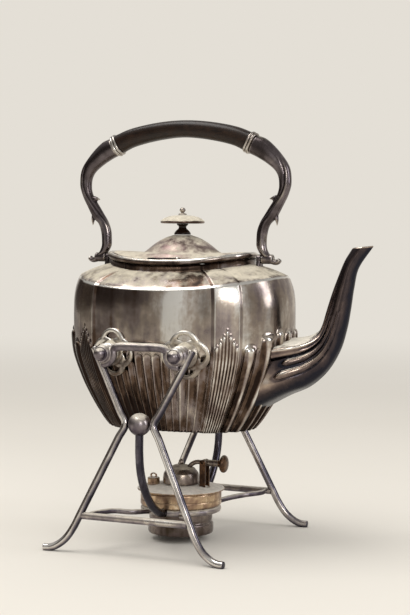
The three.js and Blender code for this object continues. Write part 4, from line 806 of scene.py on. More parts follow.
# The bead is lighter on top and dark underneath, and the ledge inside is dark: painted light and shade
rub_and_light = [0.9 * math.sin(math.atan2(up, out)) - 0.25 if up > 0 else -0.9 for out, up in roll]
rub_and_light = np.concatenate([np.repeat(rub_and_light, 260), np.full(len(points) - 260 * len(roll), -0.8)])
put("gallery_bead", points, faces, bright_plate, "kettle", ["gallery"], "silver_plate", smooth=50, rub_and_light=rub_and_light)

# ---------------------------------------------------------------------------
# Lid. Raised sheet: a bell dome that flattens into a wide oval flange which
# follows the dip of the bead. Plated, dusty on the flange and brown above it.

lid_length, lid_width = bead_length - bead_radius - 0.7, bead_width - bead_radius - 0.7
dome_radius, dome_foot_z, lid_top_z, lid_top_radius = 29.5, 218.2, 232.5, 7.0
dome_share, flange_share, lid_metal, dome_flatness = 0.55, 0.45, 1.2, 0.019


def lid_rings(drop, shares, count):
    """Rings of the lid's skin from its flat top out to its rim."""
    turn = circle(count)
    hoops = [np.array([[0, 0, lid_top_z - drop]])]
    for share in shares:
        dome = min(share / dome_share, 1)
        reach = lid_top_radius + (dome_radius - lid_top_radius) * dome
        width = reach * (1 - dome_flatness * dome)
        flat = max(share - dome_share, 0) / flange_share
        reach = reach + (lid_length - reach) * flat
        width = width + (lid_width - width) * flat
        bell = curve_through([0, 0.3, 0.65, 0.9, 1], [1, 0.83, 0.5, 0.18, 0.07], [dome])[0]
        height = dome_foot_z + (lid_top_z - dome_foot_z) * bell
        rim = bead_z(turn) + bead_radius - 0.15
        blend = flat * flat * (3 - 2 * flat) if share > dome_share else 0
        height = height + (rim - height) * (0.25 * flat + 0.75 * blend)
        x, y = reach * np.cos(turn), width * np.sin(turn)
        if share > dome_share:
            k = min(1, flat * 3)
            oval_x, oval_y, _, _ = plan(turn, reach, width)
            x, y = (1 - k) * x + k * oval_x, (1 - k) * y + k * oval_y
        hoops.append(np.column_stack([x, y, np.broadcast_to(height, x.shape) - drop]))
    return hoops


shares = np.linspace(0, 1, 42)
top_skin, under_skin = lid_rings(0, shares, 320), lid_rings(lid_metal, shares[::3], 160)
for hoop in [*top_skin[-5:], *under_skin[-2:]]:  # cut back a little for the hinge
    hoop[:, 1] += 0.9 * falling(np.abs(hoop[:, 0] - 2.5), 13.9, 0.5) * (hoop[:, 1] < 0)
x, y, z = top_skin[-1].T
edge = [np.column_stack([x * 1.006, y * 1.008, z - lower]) for lower in (0.25, 0.7)]
lid_film = ("#d2cbc3", "#ac9d90", "#8d7976", "#665249", "#3a2f31")
lid_plate = plated(
    "dusty_silver_plate", lid_film, 26, 0.24, 0.5, 0.22, 0.1, dust="#d3cab6", dusty=0.92, dents=0.15,
    dust_from=1.2
)
lid_shell = skin(top_skin + edge + under_skin[::-1])
hinge_y, hinge_z, knuckle_radius, knuckle_half, lid_knuckle_half = -36.7, 214.5, 1.2, 11.0, 4.0


def lathe(outline, centre=(0, 0, 0), along=(0, 0, 1), segments=96, soft=0.35):
    """A turned form about an axis: an outline of (radius, height), either from axis to axis or a closed hoop."""
    hoop = outline[0][0] > 0
    along = np.array(along, float)
    side = np.array([0, 0, 1.0]) if abs(along[2]) < 0.5 else np.array([1.0, 0, 0])
    other = np.cross(along, side)
    turn = circle(segments)[:, None]
    hoops = []
    for radius, height in rounded(outline, soft, hoop):
        middle = np.array(centre, float) + along * height
        hoops.append(middle + radius * (np.cos(turn) * side + np.sin(turn) * other) if radius > 1e-6 else middle[None])
    return skin(hoops, closed=hoop)


def drum(radius, start, end, bore=0.0):
    """The outline of a plain drum, or of a tube."""
    return [(bore, start), (radius, start), (radius, end), (bore, end)]


def turn_up(name, outline, segments, soft, finish, body, node_name, slot, smooth=50):
    """A piece turned about the middle's upright axis, made and put in place."""
    put(name, *lathe(outline, segments=segments, soft=soft), finish, body, [node_name], slot, smooth)


def knuckle(start, end):
    """A tube of the lid's hinge, round the wire."""
    return lathe(drum(knuckle_radius, start, end, 0.75), (0, hinge_y, hinge_z), (1, 0, 0), 40, 0.2)


half = lid_knuckle_half
web = lathe(drum(0.6, -half, half), (0, hinge_y + 2.2, hinge_z + 0.4), (1, 0, 0), 16)
points, faces = joined(lid_shell, knuckle(-half, half), web)
# The lid's own knuckle and web are made dark: the painted shade of the hinge slot
rub_and_light = np.where(np.arange(len(points)) < len(lid_shell[0]), 0.0, -1.6)
put("lid_sheet", points, faces, lid_plate, "lid_body", ["lid"], "silver_plate", smooth=40, rub_and_light=rub_and_light)

# ---------------------------------------------------------------------------
# Lid hinge. Two drawn tubes soldered to the bead, and a wire pin through them
# with a small turned head towards the spout. Silver-plated.

# Near black all through: the painted shade of the slot that the hinge tubes lie in
hinge_shade_film = ("#4a443f", "#38332f", "#292522", "#1d1a18", "#120f0e")
hinge_shade_plate = plated("hinge_plate_painted_dark", hinge_shade_film, 8, 0.5, 0.85, 0.15, 0.1)
for end, tube in (("front", knuckle(half + 0.3, knuckle_half)), ("rear", knuckle(-knuckle_half, -half - 0.3))):
    put("hinge_tube_" + end, *tube, hinge_shade_plate, "kettle", ["hinge_knuckle_" + end], "silver_plate")
wire = [
    (0, -11.4), (0.6, -11.4), (0.6, 11.2), (1.2, 11.5), (1.85, 12.4), (2.0, 13.3), (1.7, 14.5), (0.8, 15.2),
    (0, 15.3)
]
wire = lathe(wire, (0, hinge_y, hinge_z), (1, 0, 0), 40, 0.3)
made = put("hinge_wire", *wire, bright_plate, "kettle", ["lid_hinge_pin"], "silver_plate")
# The pin is lighter where it faces up and forward and near black elsewhere: painted light and shade
lit_and_worn_by_facing(made.data, (0, -0.6, 1), -1.5, 2.2, sides=False)

# ---------------------------------------------------------------------------
# Knob. A turned ebonised foot, a broad plated button over it with a thin rim,
# and a small ball finial, which is the end of the screw that holds them.

foot = [
    (0, 232.8), (6.3, 232.8), (6.4, 233.5), (5.9, 234.8), (4.6, 236.2), (3.2, 237.4), (2.8, 238.4),
    (3.1, 239.4), (4.2, 240.1), (4.4, 240.8), (4.2, 241.1), (0, 241.1)
]
# Turned and stained boxwood or ebony: near black, satin, with fine drawn grain


def ebonised(name, sheen):
    made, tree, place = new_material(name)
    drawn = node(tree, "ShaderNodeVectorMath", {0: place, 1: (0.12, 1.0, 1.0)}, operation="MULTIPLY").outputs[0]
    grain, wear = noise(tree, drawn, 0.7, 5, 0.6), noise(tree, place, 17, 4, 0.6)
    dark = ramp(tree, grain, [(0.3, "#0b0705"), (0.75, "#2a1a10")])
    look = {
        "Base Color": mix(tree, ranged(tree, wear, 0.5, 0.8, 0.0, 0.3), dark, linear("#4a321d"), "RGBA"),
        "Roughness": ranged(tree, wear, 0.3, 0.7, sheen, sheen + 0.16),
        "Specular IOR Level": 0.32,
        "Normal": bumpy(tree, 0.3, 0.0001, grain),
    }
    surface(tree, look)
    return made


ebony = ebonised("ebonised_turned_wood", 0.24)
turn_up("knob_stem", foot, 80, 0.8, ebony, "lid_body", "knob_foot", "ebonised_wood", smooth=40)
button = [
    (0, 241.3), (13.6, 241.2), (16.2, 241.4), (16.9, 242.1), (16.7, 243), (15.6, 244.2), (13.9, 245.3),
    (11, 246.5), (7.5, 247.2), (3.4, 247.55), (0, 247.6)
]
button_film = ("#d2cbc3", "#a7988b", "#7d6b64", "#4b3a33", "#2a2220")
button_plate = plated(
    "dusty_turned_plate", button_film, 7, 0.25, 0.62, 0.2, 0.1, dust="#d9d0bd", dusty=0.95, dust_from=0.78
)
turn_up("knob_button", button, 128, 0.9, button_plate, "lid_body", "knob_disc", "silver_plate", smooth=60)
tip = [
    (0, 247.9), (3.3, 247.9), (3.2, 248.6), (1.5, 249.2), (1.1, 249.7), (1.9, 250.4), (2.4, 251.4),
    (1.9, 252.6), (0.9, 253.3), (0, 253.4)
]
turn_up("knob_ball", tip, 64, 0.7, bright_plate, "lid_body", "knob_finial", "silver_plate", smooth=60)

# ---------------------------------------------------------------------------
# Handle grip. A bar of ebonised wood, arched and oval, that fits between two
# silver arms. It is widest across in the middle of its span.

handle_top = 319.4
arm_out = [
    (61.5, 306.7), (68.3, 304), (75.8, 297.6), (82.6, 289.6), (86.9, 281.6), (87.9, 272), (85.8, 263.2),
    (81.2, 254), (76.6, 245.8), (71.6, 240.5), (69.3, 232.6), (68.9, 225.4), (70.4, 220.2), (73.2, 217)
]
arm_in = [
    (54.7, 293.6), (60.5, 290.9), (68, 286.6), (74.3, 281.6), (77.9, 275.6), (78.5, 269.5), (77.2, 263.5),
    (73.4, 257.6), (68.3, 250), (63.6, 242.2), (61.2, 233.4), (61, 225.8), (63.6, 219.6), (66.0, 217.6)
]


def across_edges(inner, outer, halves, power, stations, count=48, relief=None):
    """Rings across two edges in the handle's plane, with a width at each station."""
    half = curve_through(np.arange(len(inner)), halves, stations)
    turn = circle(count)
    c, s = np.cos(turn), np.sin(turn)
    hoops = []
    for station, low, high, wide in zip(stations, through(inner, stations), through(outer, stations), half):
        middle, up = (low + high) / 2, (high - low) / 2
        tall = np.hypot(*up)
        grow = relief(station, turn) if relief else 0
        out = (tall + grow) * np.sign(s) * np.abs(s) ** (1 / power)
        side = (wide + grow) * np.sign(c) * np.abs(c) ** (1 / power)
        hoops.append(np.column_stack([middle[0] + up[0] / tall * out, side, middle[1] + up[1] / tall * out]))
    return hoops


def capped(hoops):
    ends = [hoops[0].mean(axis=0)[None], hoops[-1].mean(axis=0)[None]]
    return skin([ends[0]] + hoops + [ends[1]])


end_across = unit(np.subtract(arm_out[0], arm_in[0]))
end_back = np.array([-end_across[1], end_across[0]])
grip_half, collar_wide = 58.3, 4.6
grip_end = [np.array(p) + end_back * (collar_wide + 0.6) for p in (arm_in[0], arm_out[0])]
low_edge, high_edge, grip_wide = [grip_end[0]], [grip_end[1]], [6.2]
for share, fall in ((0.78, 0.6), (0.53, 0.28), (0.26, 0.07), (0, 0)):
    deep = 13 + 1.5 * share
    tilt = math.atan(20 * share / grip_half)
    high = np.array([grip_half * share, handle_top - 10 * fall])
    high_edge.append(high)
    low_edge.append(high - deep * np.array([math.sin(tilt), math.cos(tilt)]))
    grip_wide.append(7 - 0.8 * share)
mirror = np.array([-1, 1])
low_edge += [p * mirror for p in low_edge[-2::-1]]
high_edge += [p * mirror for p in high_edge[-2::-1]]
grip_wide += grip_wide[-2::-1]
grip = across_edges(low_edge, high_edge, grip_wide, 1.2, np.linspace(0, 8, 80))
put("grip_bar", *capped(grip), ebony, "handle", ["grip"], "ebonised_wood", smooth=50)

# ---------------------------------------------------------------------------
# Handle collars. Cast silver caps with two round beads, which grip the ends of
# the wood and meet the arms.

collar = []
for share in np.linspace(0, 1, 41):
    over = 0.25 + 0.95 * abs(math.sin(2 * math.pi * share)) ** 0.6 if 0 < share < 1 else -0.2
    back = end_back * (collar_wide * share + 0.3)
    low, high = (np.array(p) + back + s * over * end_across for p, s in ((arm_in[0], -1), (arm_out[0], 1)))
    collar += across_edges([low, low], [high, high], [6.2 + over] * 2, 1.15, [0])
arm_film = ("#d3d0cb", "#9d948b", "#6d6567", "#463f3f", "#242022")
arm_plate = plated("dark_cast_silver_plate", arm_film, 24, 0.13, 0.62, 0.18, 0.1, dusty=0.4)
both_ends = (("front", 1), ("rear", -1))
for end, side in both_ends:
    beads = mirrored(capped(collar), [(side, 1)])
    made = put("collar_bead_" + end, *beads, arm_plate, "handle", ["collar_" + end], "silver_plate", smooth=50)
    worn_by_form(made.data, 14.0, 0.1)

# ---------------------------------------------------------------------------
# Handle arms. Cast horn-shaped scrolls with a leaf folded over the bend, a
# thorn inside, a hanging leaf tip outside, and a rolled foot on the pivot.

pivot_z, ear_radius = 215.0, 3.6


def arm_relief(station, turn):
    """The lip of the leaf that lies along the arm's outside, the groove under it, and a ridge below."""
    place = np.sin(turn)
    lip_at = curve_through([2.4, 3.4, 5, 6.5, 8, 9.5], [1.1, 0.62, 0.3, 0.0, -0.35, -0.8], [station])[0]
    near = rising(station, 2.6, 0.8) * falling(station, 9.4, 1.0)
    leaf = 1 / (1 + np.exp(-(place - lip_at) / 0.05))
    groove = peak(place - lip_at, -0.16, 0.09)
    low = rising(station, 7.4, 1.0) * falling(station, 12.5, 2)
    crest = peak(place, 0.1, 0.2)
    return near * (0.55 * leaf - 0.5 * groove) - 0.35 * near + 0.35 * low * crest


def cast_solid(name, parts, voxel, melt):
    """One cast form from overlapping shells, with the melt of a mould at their joins."""
    mesh = mesh_of(name, *joined(*parts))
    whole(mesh)
    source = bpy.data.objects.new(name, mesh)
    bpy.context.scene.collection.objects.link(source)
    remesh = source.modifiers.new("Cast", "REMESH")
    remesh.mode = "VOXEL"
    remesh.voxel_size = voxel / 1000
    smooth = source.modifiers.new("Melt", "SMOOTH")
    smooth.factor = 0.5
    smooth.iterations = melt
    return evaluated(source)


def thorn(root_low, root_high, tip, half, bend=0.0):
    """A pointed leaf tip between a root's two edges and its tip."""
    low, high, tip = (np.array(p, float) for p in (root_low, root_high, tip))
    across = high - low
    lows = [low, low + 0.55 * (tip - low) + bend * across, tip - 0.03 * across]
    highs = [high, high + 0.55 * (tip - high) + bend * across, tip + 0.03 * across]
    return capped(across_edges(lows, highs, [half, 0.75 * half, 0.25 * half], 1.0, np.linspace(0, 2, 14), 24))


def bend_through(places, steps=10):
    """A smooth path through places, as a bent rod takes."""
    p = np.array(places, float)
    p = np.vstack([2 * p[0] - p[1], p, 2 * p[-1] - p[-2]])
    made = []
    for i in range(1, len(p) - 2):
        k = np.concatenate([[0], np.cumsum(np.sqrt(np.linalg.norm(np.diff(p[i - 1 : i + 3], axis=0), axis=1)))])
        last = i == len(p) - 3
        for t in np.linspace(k[1], k[2], steps + last, endpoint=last):
            a = [((k[j + 1] - t) * p[i - 1 + j] + (t - k[j]) * p[i + j]) / (k[j + 1] - k[j]) for j in range(3)]
            b = [((k[j + 2] - t) * a[j] + (t - k[j]) * a[j + 1]) / (k[j + 2] - k[j]) for j in range(2)]
            made.append(((k[2] - t) * b[0] + (t - k[1]) * b[1]) / (k[2] - k[1]))
    return np.array(made)


curl = bend_through([(70.5, 0, 215.6), (74.5, 0, 213.2), (77.6, 0, 212.9), (79.8, 0, 214.6)])
fat = np.linspace(2.4, 1.8, len(curl))
away = np.gradient(curl, axis=0)
away = np.column_stack([-away[:, 2], away[:, 0]]) / np.hypot(away[:, 0], away[:, 2])[:, None]
curl_low, curl_high = (
    [(x + s * r * a, z + s * r * b) for (x, _, z), r, (a, b) in zip(curl, fat, away)] for s in (-1, 1)
)
scroll = capped(across_edges(curl_low, curl_high, 1.5 * fat, 1.0, np.linspace(0, len(curl) - 1, 30), 32))
foot_bush = lathe(drum(ear_radius, 65.4, 74.4), (0, 0, pivot_z), (1, 0, 0), 40, 0.5)
arm_half = [6, 5.8, 5.5, 5.1, 4.7, 4.4, 4.15, 3.95, 3.8, 3.6, 3.5, 3.5, 3.6, 3.7]
horn = capped(across_edges(arm_in, arm_out, arm_half, 1.08, np.linspace(0, 13, 180), 72, arm_relief))
inner_thorn = thorn((75.6, 256.4), (77.2, 262.8), (71.0, 259.7), 2.4, 0.1)
hanging_leaf = thorn((72.8, 247.6), (77.8, 250.2), (77.3, 239.6), 2.8, 0.14)
parts = [horn, foot_bush, scroll, inner_thorn, hanging_leaf]
for end, side in both_ends:
    solid = cast_solid("arm", [mirrored(part, [(side, 1)]) for part in parts], 0.42, 2)
    worn_by_form(solid, 9.0)
    settle("arm_casting_" + end, solid, arm_plate, "handle", ["handle_arm_" + end], smooth=60)

# ---------------------------------------------------------------------------
# Handle lugs. A small cast ear at each end of the mouth, on a leaf soldered to
# the shoulder, with the rivet that the handle swings on.

leaf_x = np.linspace(60.5, 82, 12)
shoulder_z = curve_through([57.7, 64, 72, 83], [208.6, 207.5, 205.3, 201.6], leaf_x)
leaf_low, leaf_high, leaf_half = [], [], []
for x, z, share in zip(leaf_x, shoulder_z, np.linspace(0, 1, 12)):
    leaf_low.append((x, z - 0.4))
    leaf_high.append((x, z + 1.5 - 0.6 * share))
    leaf_half.append(7 * math.sqrt(max(1 - share**3, 0.02)))
leaf = capped(across_edges(leaf_low, leaf_high, leaf_half, 1.5, np.linspace(0, 11, 30), 40))
ear_in, ear_out = 61.9, 65.1
ear = lathe(drum(ear_radius, ear_in, ear_out), (0, 0, pivot_z), (1, 0, 0), 40, 0.5)
low, high = [(ear_in, 206.5), (ear_in, pivot_z)], [(ear_out, 205.5), (ear_out, pivot_z)]
neck = capped(across_edges(low, high, [5.2, 3.2], 2.5, np.linspace(0, 1, 6), 32))
rivet = lathe([(0, ear_in), (1.5, ear_in), (1.5, 74.7), (0, 74.9)], (0, 0, pivot_z), (1, 0, 0), 32, 0.4)
for end, side in both_ends:
    solid = cast_solid("lug", [mirrored(part, [(side, 1)]) for part in (leaf, ear, neck)], 0.35, 2)
    settle("handle_ear_" + end, solid, arm_plate, "kettle", ["handle_lug_" + end], smooth=50)
    pivot = mirrored(rivet, [(side, 1)])
    put("handle_rivet_" + end, *pivot, bright_plate, "kettle", ["handle_pin_" + end], "silver_plate")

# ---------------------------------------------------------------------------
# Pin lugs. Four cast and pierced quatrefoils soldered to the long sides of the
# body, each with a round boss that a pin passes into.

pin_x, pin_z, boss_face = 29.4, 146.1, 63.8


def body_side(x, z):
    """How far the body's side stands out at a height and a place along it."""
    reach = reach_at(z)
    return reach * body_width / body_length * (1 - np.abs(x / reach) ** plan_power) ** (1 / plan_power)


def petal(at):
    """One pierced petal: a broad round rim on the body's side."""
    turn = circle(64)
    hole_radius, rim_radius, hole_reach, rim_reach = 6.15, 11.4, 8.5, 6.6
    hoops = []
    for a in circle(18):
        out = 0.5 * (1 + math.cos(a))
        radius = hole_radius + (rim_radius - hole_radius) * out
        reach = hole_reach + (rim_reach - hole_reach) * out
        x = pin_x + reach * math.cos(at) + radius * np.cos(turn)
        z = pin_z + reach * math.sin(at) + radius * np.sin(turn)
        hoops.append(np.column_stack([x, -(body_side(x, z) + 0.95 + 1.25 * math.sin(a)), z]))
    return skin(hoops, closed=True)


def rub_and_light_of(mesh):
    """The wear and the painted light and shade that each point has so far."""
    values = np.empty(len(mesh.vertices), np.float32)
    mesh.attributes["rub_and_light"].data.foreach_get("value", values)
    return values


# Cast and left matt between its polished edges: cream with dust where it faces up
foil_film = ("#dcd8d1", "#b9af9f", "#8f867f", "#5c4e44", "#2b2422")
foil_plate = plated("dusty_cast_silver_plate", foil_film, 14, 0.26, 0.36, 0.24, 0.1, dusty=0.85, dust_from=0.98)
inner_face = boss_face - 0.5
boss = [(0, 50), (10, 50), (10, 57.6), (8.3, 60.4), (7.3, inner_face), (6.6, boss_face), (3.4, boss_face)]
boss += [(2.9, inner_face), (0, inner_face)]
foil = [petal(math.radians(a)) for a in (0, 90, 180, 270)]
foil.append(lathe(boss, (pin_x, 0, pin_z), (0, -1, 0), 72, 0.8))
four_corners = [(end, near, sx, sy) for end, sx in both_ends for near, sy in (("near", 1), ("far", -1))]
for end, near, sx, sy in four_corners:
    solid = cast_solid("foil", [mirrored(part, [(sx, sy)]) for part in foil], 0.42, 2)
    worn_by_form(solid, 7.0)
    # Darker on the lower petals: painted shade
    painted_shade_low = falling(1000 * read_points(solid)[:, 2], pin_z + 3, 9)
    wear_and_light_of(solid, rub_and_light_of(solid) + 0.35 - 0.9 * painted_shade_low)
    name, lug = f"quatrefoil_{end}_{near}", f"pin_lug_{end}_{near}"
    settle(name, solid, foil_plate, "kettle", [lug], smooth=50)

# ---------------------------------------------------------------------------
# Pull-out pins. Four turned pins, each with a thin flange and a domed head,
# that pass through the stand's barrels into the kettle's lugs.

# Turned and filed metal, never polished smooth: satin, bluish below where shade is painted in, cream dust above
turned_film = ("#dedbd6", "#b8afa6", "#8d8587", "#554d55", "#2a292f")
turned_plate = plated(
    "satin_silver_plate", turned_film, 14, 0.24, 0.42, 0.2, 0.1, dust="#cfc7b8", dusty=0.85, dents=0.1,
    dust_from=0.98
)
pin = [(0, 60.4), (1.6, 60.4), (2.1, 61), (2.1, 75.9), (5.3, 75.9), (5.3, 77.0), (4.4, 77.0), (4.4, 78.2)]
pin = lathe(pin + [(3.7, 80), (2.2, 81.2), (0, 81.6)], (pin_x, 0, pin_z), (0, -1, 0), 64, 0.45)
for end, near, sx, sy in four_corners:
    name = f"pin_{end}_{near}"
    turned = mirrored(pin, [(sx, sy)])
    made = put(name + "_turned", *turned, turned_plate, name + "_body", [name], "silver_plate", smooth=50)
    # Pale on the upper half and dark below: painted light and shade
    lit_and_worn_by_facing(made.data, (0, 0.25, 1), -0.7, 1.25)

# ---------------------------------------------------------------------------
# Top bars. On each side two turned barrels stand out from the kettle's lugs,
# and a thick bent bar hooks round both. Cast, silver-plated, left satin.

strap_y = 71.0


def wire_tree(name, finish):
    """Round wire along paths, with a radius that the paths may taper."""
    tree, given, out = shape_tree(name, {"Wire Radius": 0.0025})
    tree.interface.new_socket("Sides", in_out="INPUT", socket_type="NodeSocketInt").default_value = 20
    section = {"Resolution": given.outputs["Sides"], "Radius": given.outputs["Wire Radius"]}
    section = node(tree, "GeometryNodeCurvePrimitiveCircle", section).outputs[0]
    swept = {"Curve": given.outputs[0], "Profile Curve": section, "Fill Caps": True}
    swept = node(tree, "GeometryNodeCurveToMesh", swept)
    if "Scale" in swept.inputs:
        tree.links.new(node(tree, "GeometryNodeInputRadius").outputs[0], swept.inputs["Scale"])
    spot = node(tree, "GeometryNodeInputPosition").outputs[0]
    apart = node(tree, "ShaderNodeSeparateXYZ", {0: spot}).outputs
    on_floor = {0: apart[0], 1: apart[1], 2: maths(tree, "MAXIMUM", apart[2], 0.0)}
    level = node(tree, "ShaderNodeCombineXYZ", on_floor).outputs[0]
    flat = node(tree, "GeometryNodeSetPosition", {"Geometry": swept.outputs[0], "Position": level}).outputs[0]
    finish_tree(tree, out, flat, finish)
    return tree


def wires(name, paths, radius, finish, body, nodes, sides=24, blunt=0.5, lit_and_worn=1.5, base=-0.45):
    """One piece of several wires of one radius, with their ends' edges eased."""
    curve = bpy.data.curves.new(name, "CURVE")
    curve.dimensions = "3D"
    for path in paths:
        path = np.asarray(path, float)
        a, b = path[0], path[-1]
        u, v = unit(path[1] - a), unit(path[-2] - b)
        eased = [(0, 1 - blunt / radius), (0.3 * blunt, 1 - 0.3 * blunt / radius), (blunt, 1)]
        inner = path[1:-1]
        keep = (np.linalg.norm(inner - a, axis=1) > 1.2 * blunt) & (np.linalg.norm(inner - b, axis=1) > 1.2 * blunt)
        places = [a + u * d for d, _ in eased] + list(inner[keep]) + [b + v * d for d, _ in eased[::-1]]
        widths = [w for _, w in eased] + [1.0] * int(keep.sum()) + [w for _, w in eased[::-1]]
        spline = curve.splines.new("POLY")
        spline.points.add(len(places) - 1)
        for point, place, width in zip(spline.points, places, widths):
            point.co = (*(place / 1000 + [stand_middle, 0, 0]), 1)
            point.radius = width
    mesh = shaped(name, curve, wire_tree(name + "_shape", finish), {"Wire Radius": radius / 1000, "Sides": sides})
    whole(mesh)
    # Lighter on the upper, outer and left sides and darker elsewhere: painted highlight and shade, partly also wear
    # where a cloth reaches
    lit_and_worn_by_facing(mesh, (-0.25, 0.8, 0.45), base, lit_and_worn)
    return settle(name, mesh, finish, body, nodes, smooth=50)


# Bent, polished wire: the cleanest plating on the piece, pale on top, partly dust and partly painted light,
# with a long dark line where it reflects the room
wire_film = ("#dedbd7", "#aea6a0", "#77727a", "#45424b", "#25242c")
wire_plate = plated("polished_silver_wire", wire_film, 26, 0.13, 0.58, 0.2, 0.1, dusty=0.85, dents=0.15, dust_from=1.24)
barrel_outline = [
    (2.3, 64.1), (7.5, 64.1), (7.5, 66.4), (6.5, 67.0), (6.4, 68.0), (7.2, 68.8), (7.2, 70.6), (6.2, 71.4),
    (6.1, 72.6), (6.5, 73.4), (5.7, 75.2), (5.4, 75.6), (2.3, 75.6)
]
barrel = lathe(barrel_outline, (pin_x, 0, pin_z), (0, -1, 0), 72, 0.5)
hook = [(pin_x + 8.1 * math.cos(math.radians(a)), pin_z + 8.1 * math.sin(math.radians(a))) for a in range(160, 281, 15)]
strap = [(-x, z) for x, z in hook[::-1]] + [
    (-19.6, 150.6), (-16.2, 151.5), (0, 151.6), (16.2, 151.5), (19.6, 150.6)
] + hook
strap = bend_through([(x, -strap_y, z) for x, z in strap], 6)
strap_radius = np.interp(np.abs(strap[:, 0]), [0, 19, 22.5, 30], [3.1, 3.1, 2.5, 2.2])


def swept(path, radius, count=24):
    """A round bar along a path in an upright plane along X, with flat ends."""
    hoops = []
    radius = np.broadcast_to(radius, len(path))
    turn, side = circle(count)[:, None], np.array([0, 1.0, 0])
    for i, place in enumerate(path):
        along = path[min(i + 1, len(path) - 1)] - path[max(i - 1, 0)]
        other = np.cross(unit(along), side)
        hoops.append(place + radius[i] * (np.cos(turn) * side + np.sin(turn) * other))
    return capped(hoops)


bar = [mirrored(barrel, [(1, 1), (-1, 1)]), swept(strap, strap_radius)]
both_sides = (("near", 1), ("far", -1))
for near, side in both_sides:
    solid = cast_solid("bar", [mirrored(part, [(1, side)]) for part in bar], 0.42, 3)
    # Lighter on top and darker below: painted light and shade
    lit_and_worn_by_facing(solid, (0, 0.3, 1), -0.3, 0.8)
    place = read_points(solid) * 1000 - [1000 * stand_middle, 0, 0]
    on_barrel = np.hypot(np.abs(place[:, 0]) - pin_x, place[:, 2] - pin_z) < 7.5
    wear_and_light_of(solid, rub_and_light_of(solid) + 0.35 * on_barrel)
    settle("top_bar_casting_" + near, solid, turned_plate, "stand", ["top_bar_" + near], smooth=50)

# ---------------------------------------------------------------------------
# Rods. Four long bent wires from the barrels down past each other at a ball,
# and on to the floor, where each sweeps out into a toe cut flat underneath.

rod_top, rod_pass, rod_knee, rod_toe = np.array(
    [(39.6, -66.4, 150.2), (11.4, -71.2, 95.7), (44.5, -79.6, 27.4), (72.4, -83.5, 2.3)]
)
upper, lower = rod_top - rod_pass, rod_knee - rod_pass
path = [rod_top, (rod_top + rod_pass) / 2, rod_pass + 0.16 * upper, rod_pass, rod_pass + 0.16 * lower]
path += [rod_pass + 0.55 * lower, rod_knee, rod_knee + lower * 0.12]
past = path[-1]
for share_x, share_y, left in ((0.26, 0.4, 0.46), (0.55, 0.65, 0.14), (0.78, 0.84, 0.015)):
    x, y = past[:2] + (rod_toe - past)[:2] * (share_x, share_y)
    path.append(np.array([x, y, rod_toe[2] + (past[2] - rod_toe[2]) * left]))
rod_path = bend_through(path + [rod_toe], 14)
rods = [rod_path * [sx, sy, 1] for _, _, sx, sy in four_corners]
rod_nodes = [f"rod_{end}_{near}" for end, near, _, _ in four_corners]
wires("bent_rods", rods, 2.8, wire_plate, "stand", rod_nodes, 28, lit_and_worn=1.7, base=-0.38)

# ---------------------------------------------------------------------------
# Balls, crossbars and third arms. A cast ball joins each pair of rods where
# they cross; a crossbar ties their knees; a third wire curves in to the ring.

ball_y, ball_z, ball_radius, knee_y, knee_z, ring_z, ring_radius = 71.2, 95.7, 8.3, 79.6, 27.4, 24.0, 28.5
half_turn = np.linspace(-math.pi / 2, math.pi / 2, 30)
ball_outline = [(ball_radius * math.cos(a), ball_radius * math.sin(a)) for a in half_turn]
ball_outline[0], ball_outline[-1] = (0, -ball_radius), (0, ball_radius)
for near, side in both_sides:
    ball = lathe(ball_outline, (0, -ball_y * side, ball_z), (0, 0, 1), 72, 0.1)
    made = put("cast_ball_" + near, *ball, turned_plate, "stand", ["ball_" + near], "silver_plate", smooth=0)
    # Lighter on top and darker below: painted light and shade
    lit_and_worn_by_facing(made.data, (0, 0.5, 0.85), -0.65, 1.05)
bars = [np.linspace((-42.5, -knee_y * side, knee_z), (42.5, -knee_y * side, knee_z), 24) for side in (1, -1)]
crossbars = ["crossbar_near", "crossbar_far"]
wires("crossbar_wires", bars, 2.65, turned_plate, "stand", crossbars, 28, 0.2, lit_and_worn=0.8)
third_top = ball_z - 4.15
third = []
for in_share, down in ((0, 0), (0, 0.28), (0.06, 0.48), (0.22, 0.68), (0.48, 0.86), (0.78, 0.97), (1, 1)):
    third.append((0, -(ball_y + (ring_radius - ball_y) * in_share), third_top + (ring_z - third_top) * down))
third = bend_through(third, 12)
thirds = ["third_arm_near", "third_arm_far"]
wires("third_arm_wires", [third, third * [1, -1, 1]], 3.0, wire_plate, "stand", thirds, lit_and_worn=0.5)

# ---------------------------------------------------------------------------
# Lamp ring. A hoop of the same wire under the kettle, soldered to the two
# third arms and to four short bent arms from the crossbars.

hoop = round_section(2.4, ring_radius, ring_z)
turn_up("ring_hoop", hoop, 120, 0.1, turned_plate, "stand", "lamp_ring", "silver_plate", smooth=60)
arm_x, meet_x = 38.14, 14
meet_y = math.sqrt(ring_radius**2 - meet_x**2)
side_arm = []
for in_x, in_y, z in ((0, 0, knee_z), (0, 0.2, knee_z), (0.32, 0.48, knee_z), (0.72, 0.66, 25.7), (1, 1, ring_z)):
    side_arm.append((arm_x - (arm_x - meet_x) * in_x, -(knee_y + (meet_y - knee_y) * in_y), z))
side_arm = bend_through(side_arm, 12)
side_arms = [side_arm * [sx, sy, 1] for _, _, sx, sy in four_corners]
arm_nodes = [f"ring_arm_{end}_{near}" for end, near, _, _ in four_corners]
wires("ring_arm_wires", side_arms, 2.0, turned_plate, "stand", arm_nodes, 20, lit_and_worn=0.8)

# ---------------------------------------------------------------------------
# Lamp. A spun spirit lamp: a dark plated cup hanging in the ring by its brass
# band, under a low domed brass plate with the wick tube, filler and fork on it.

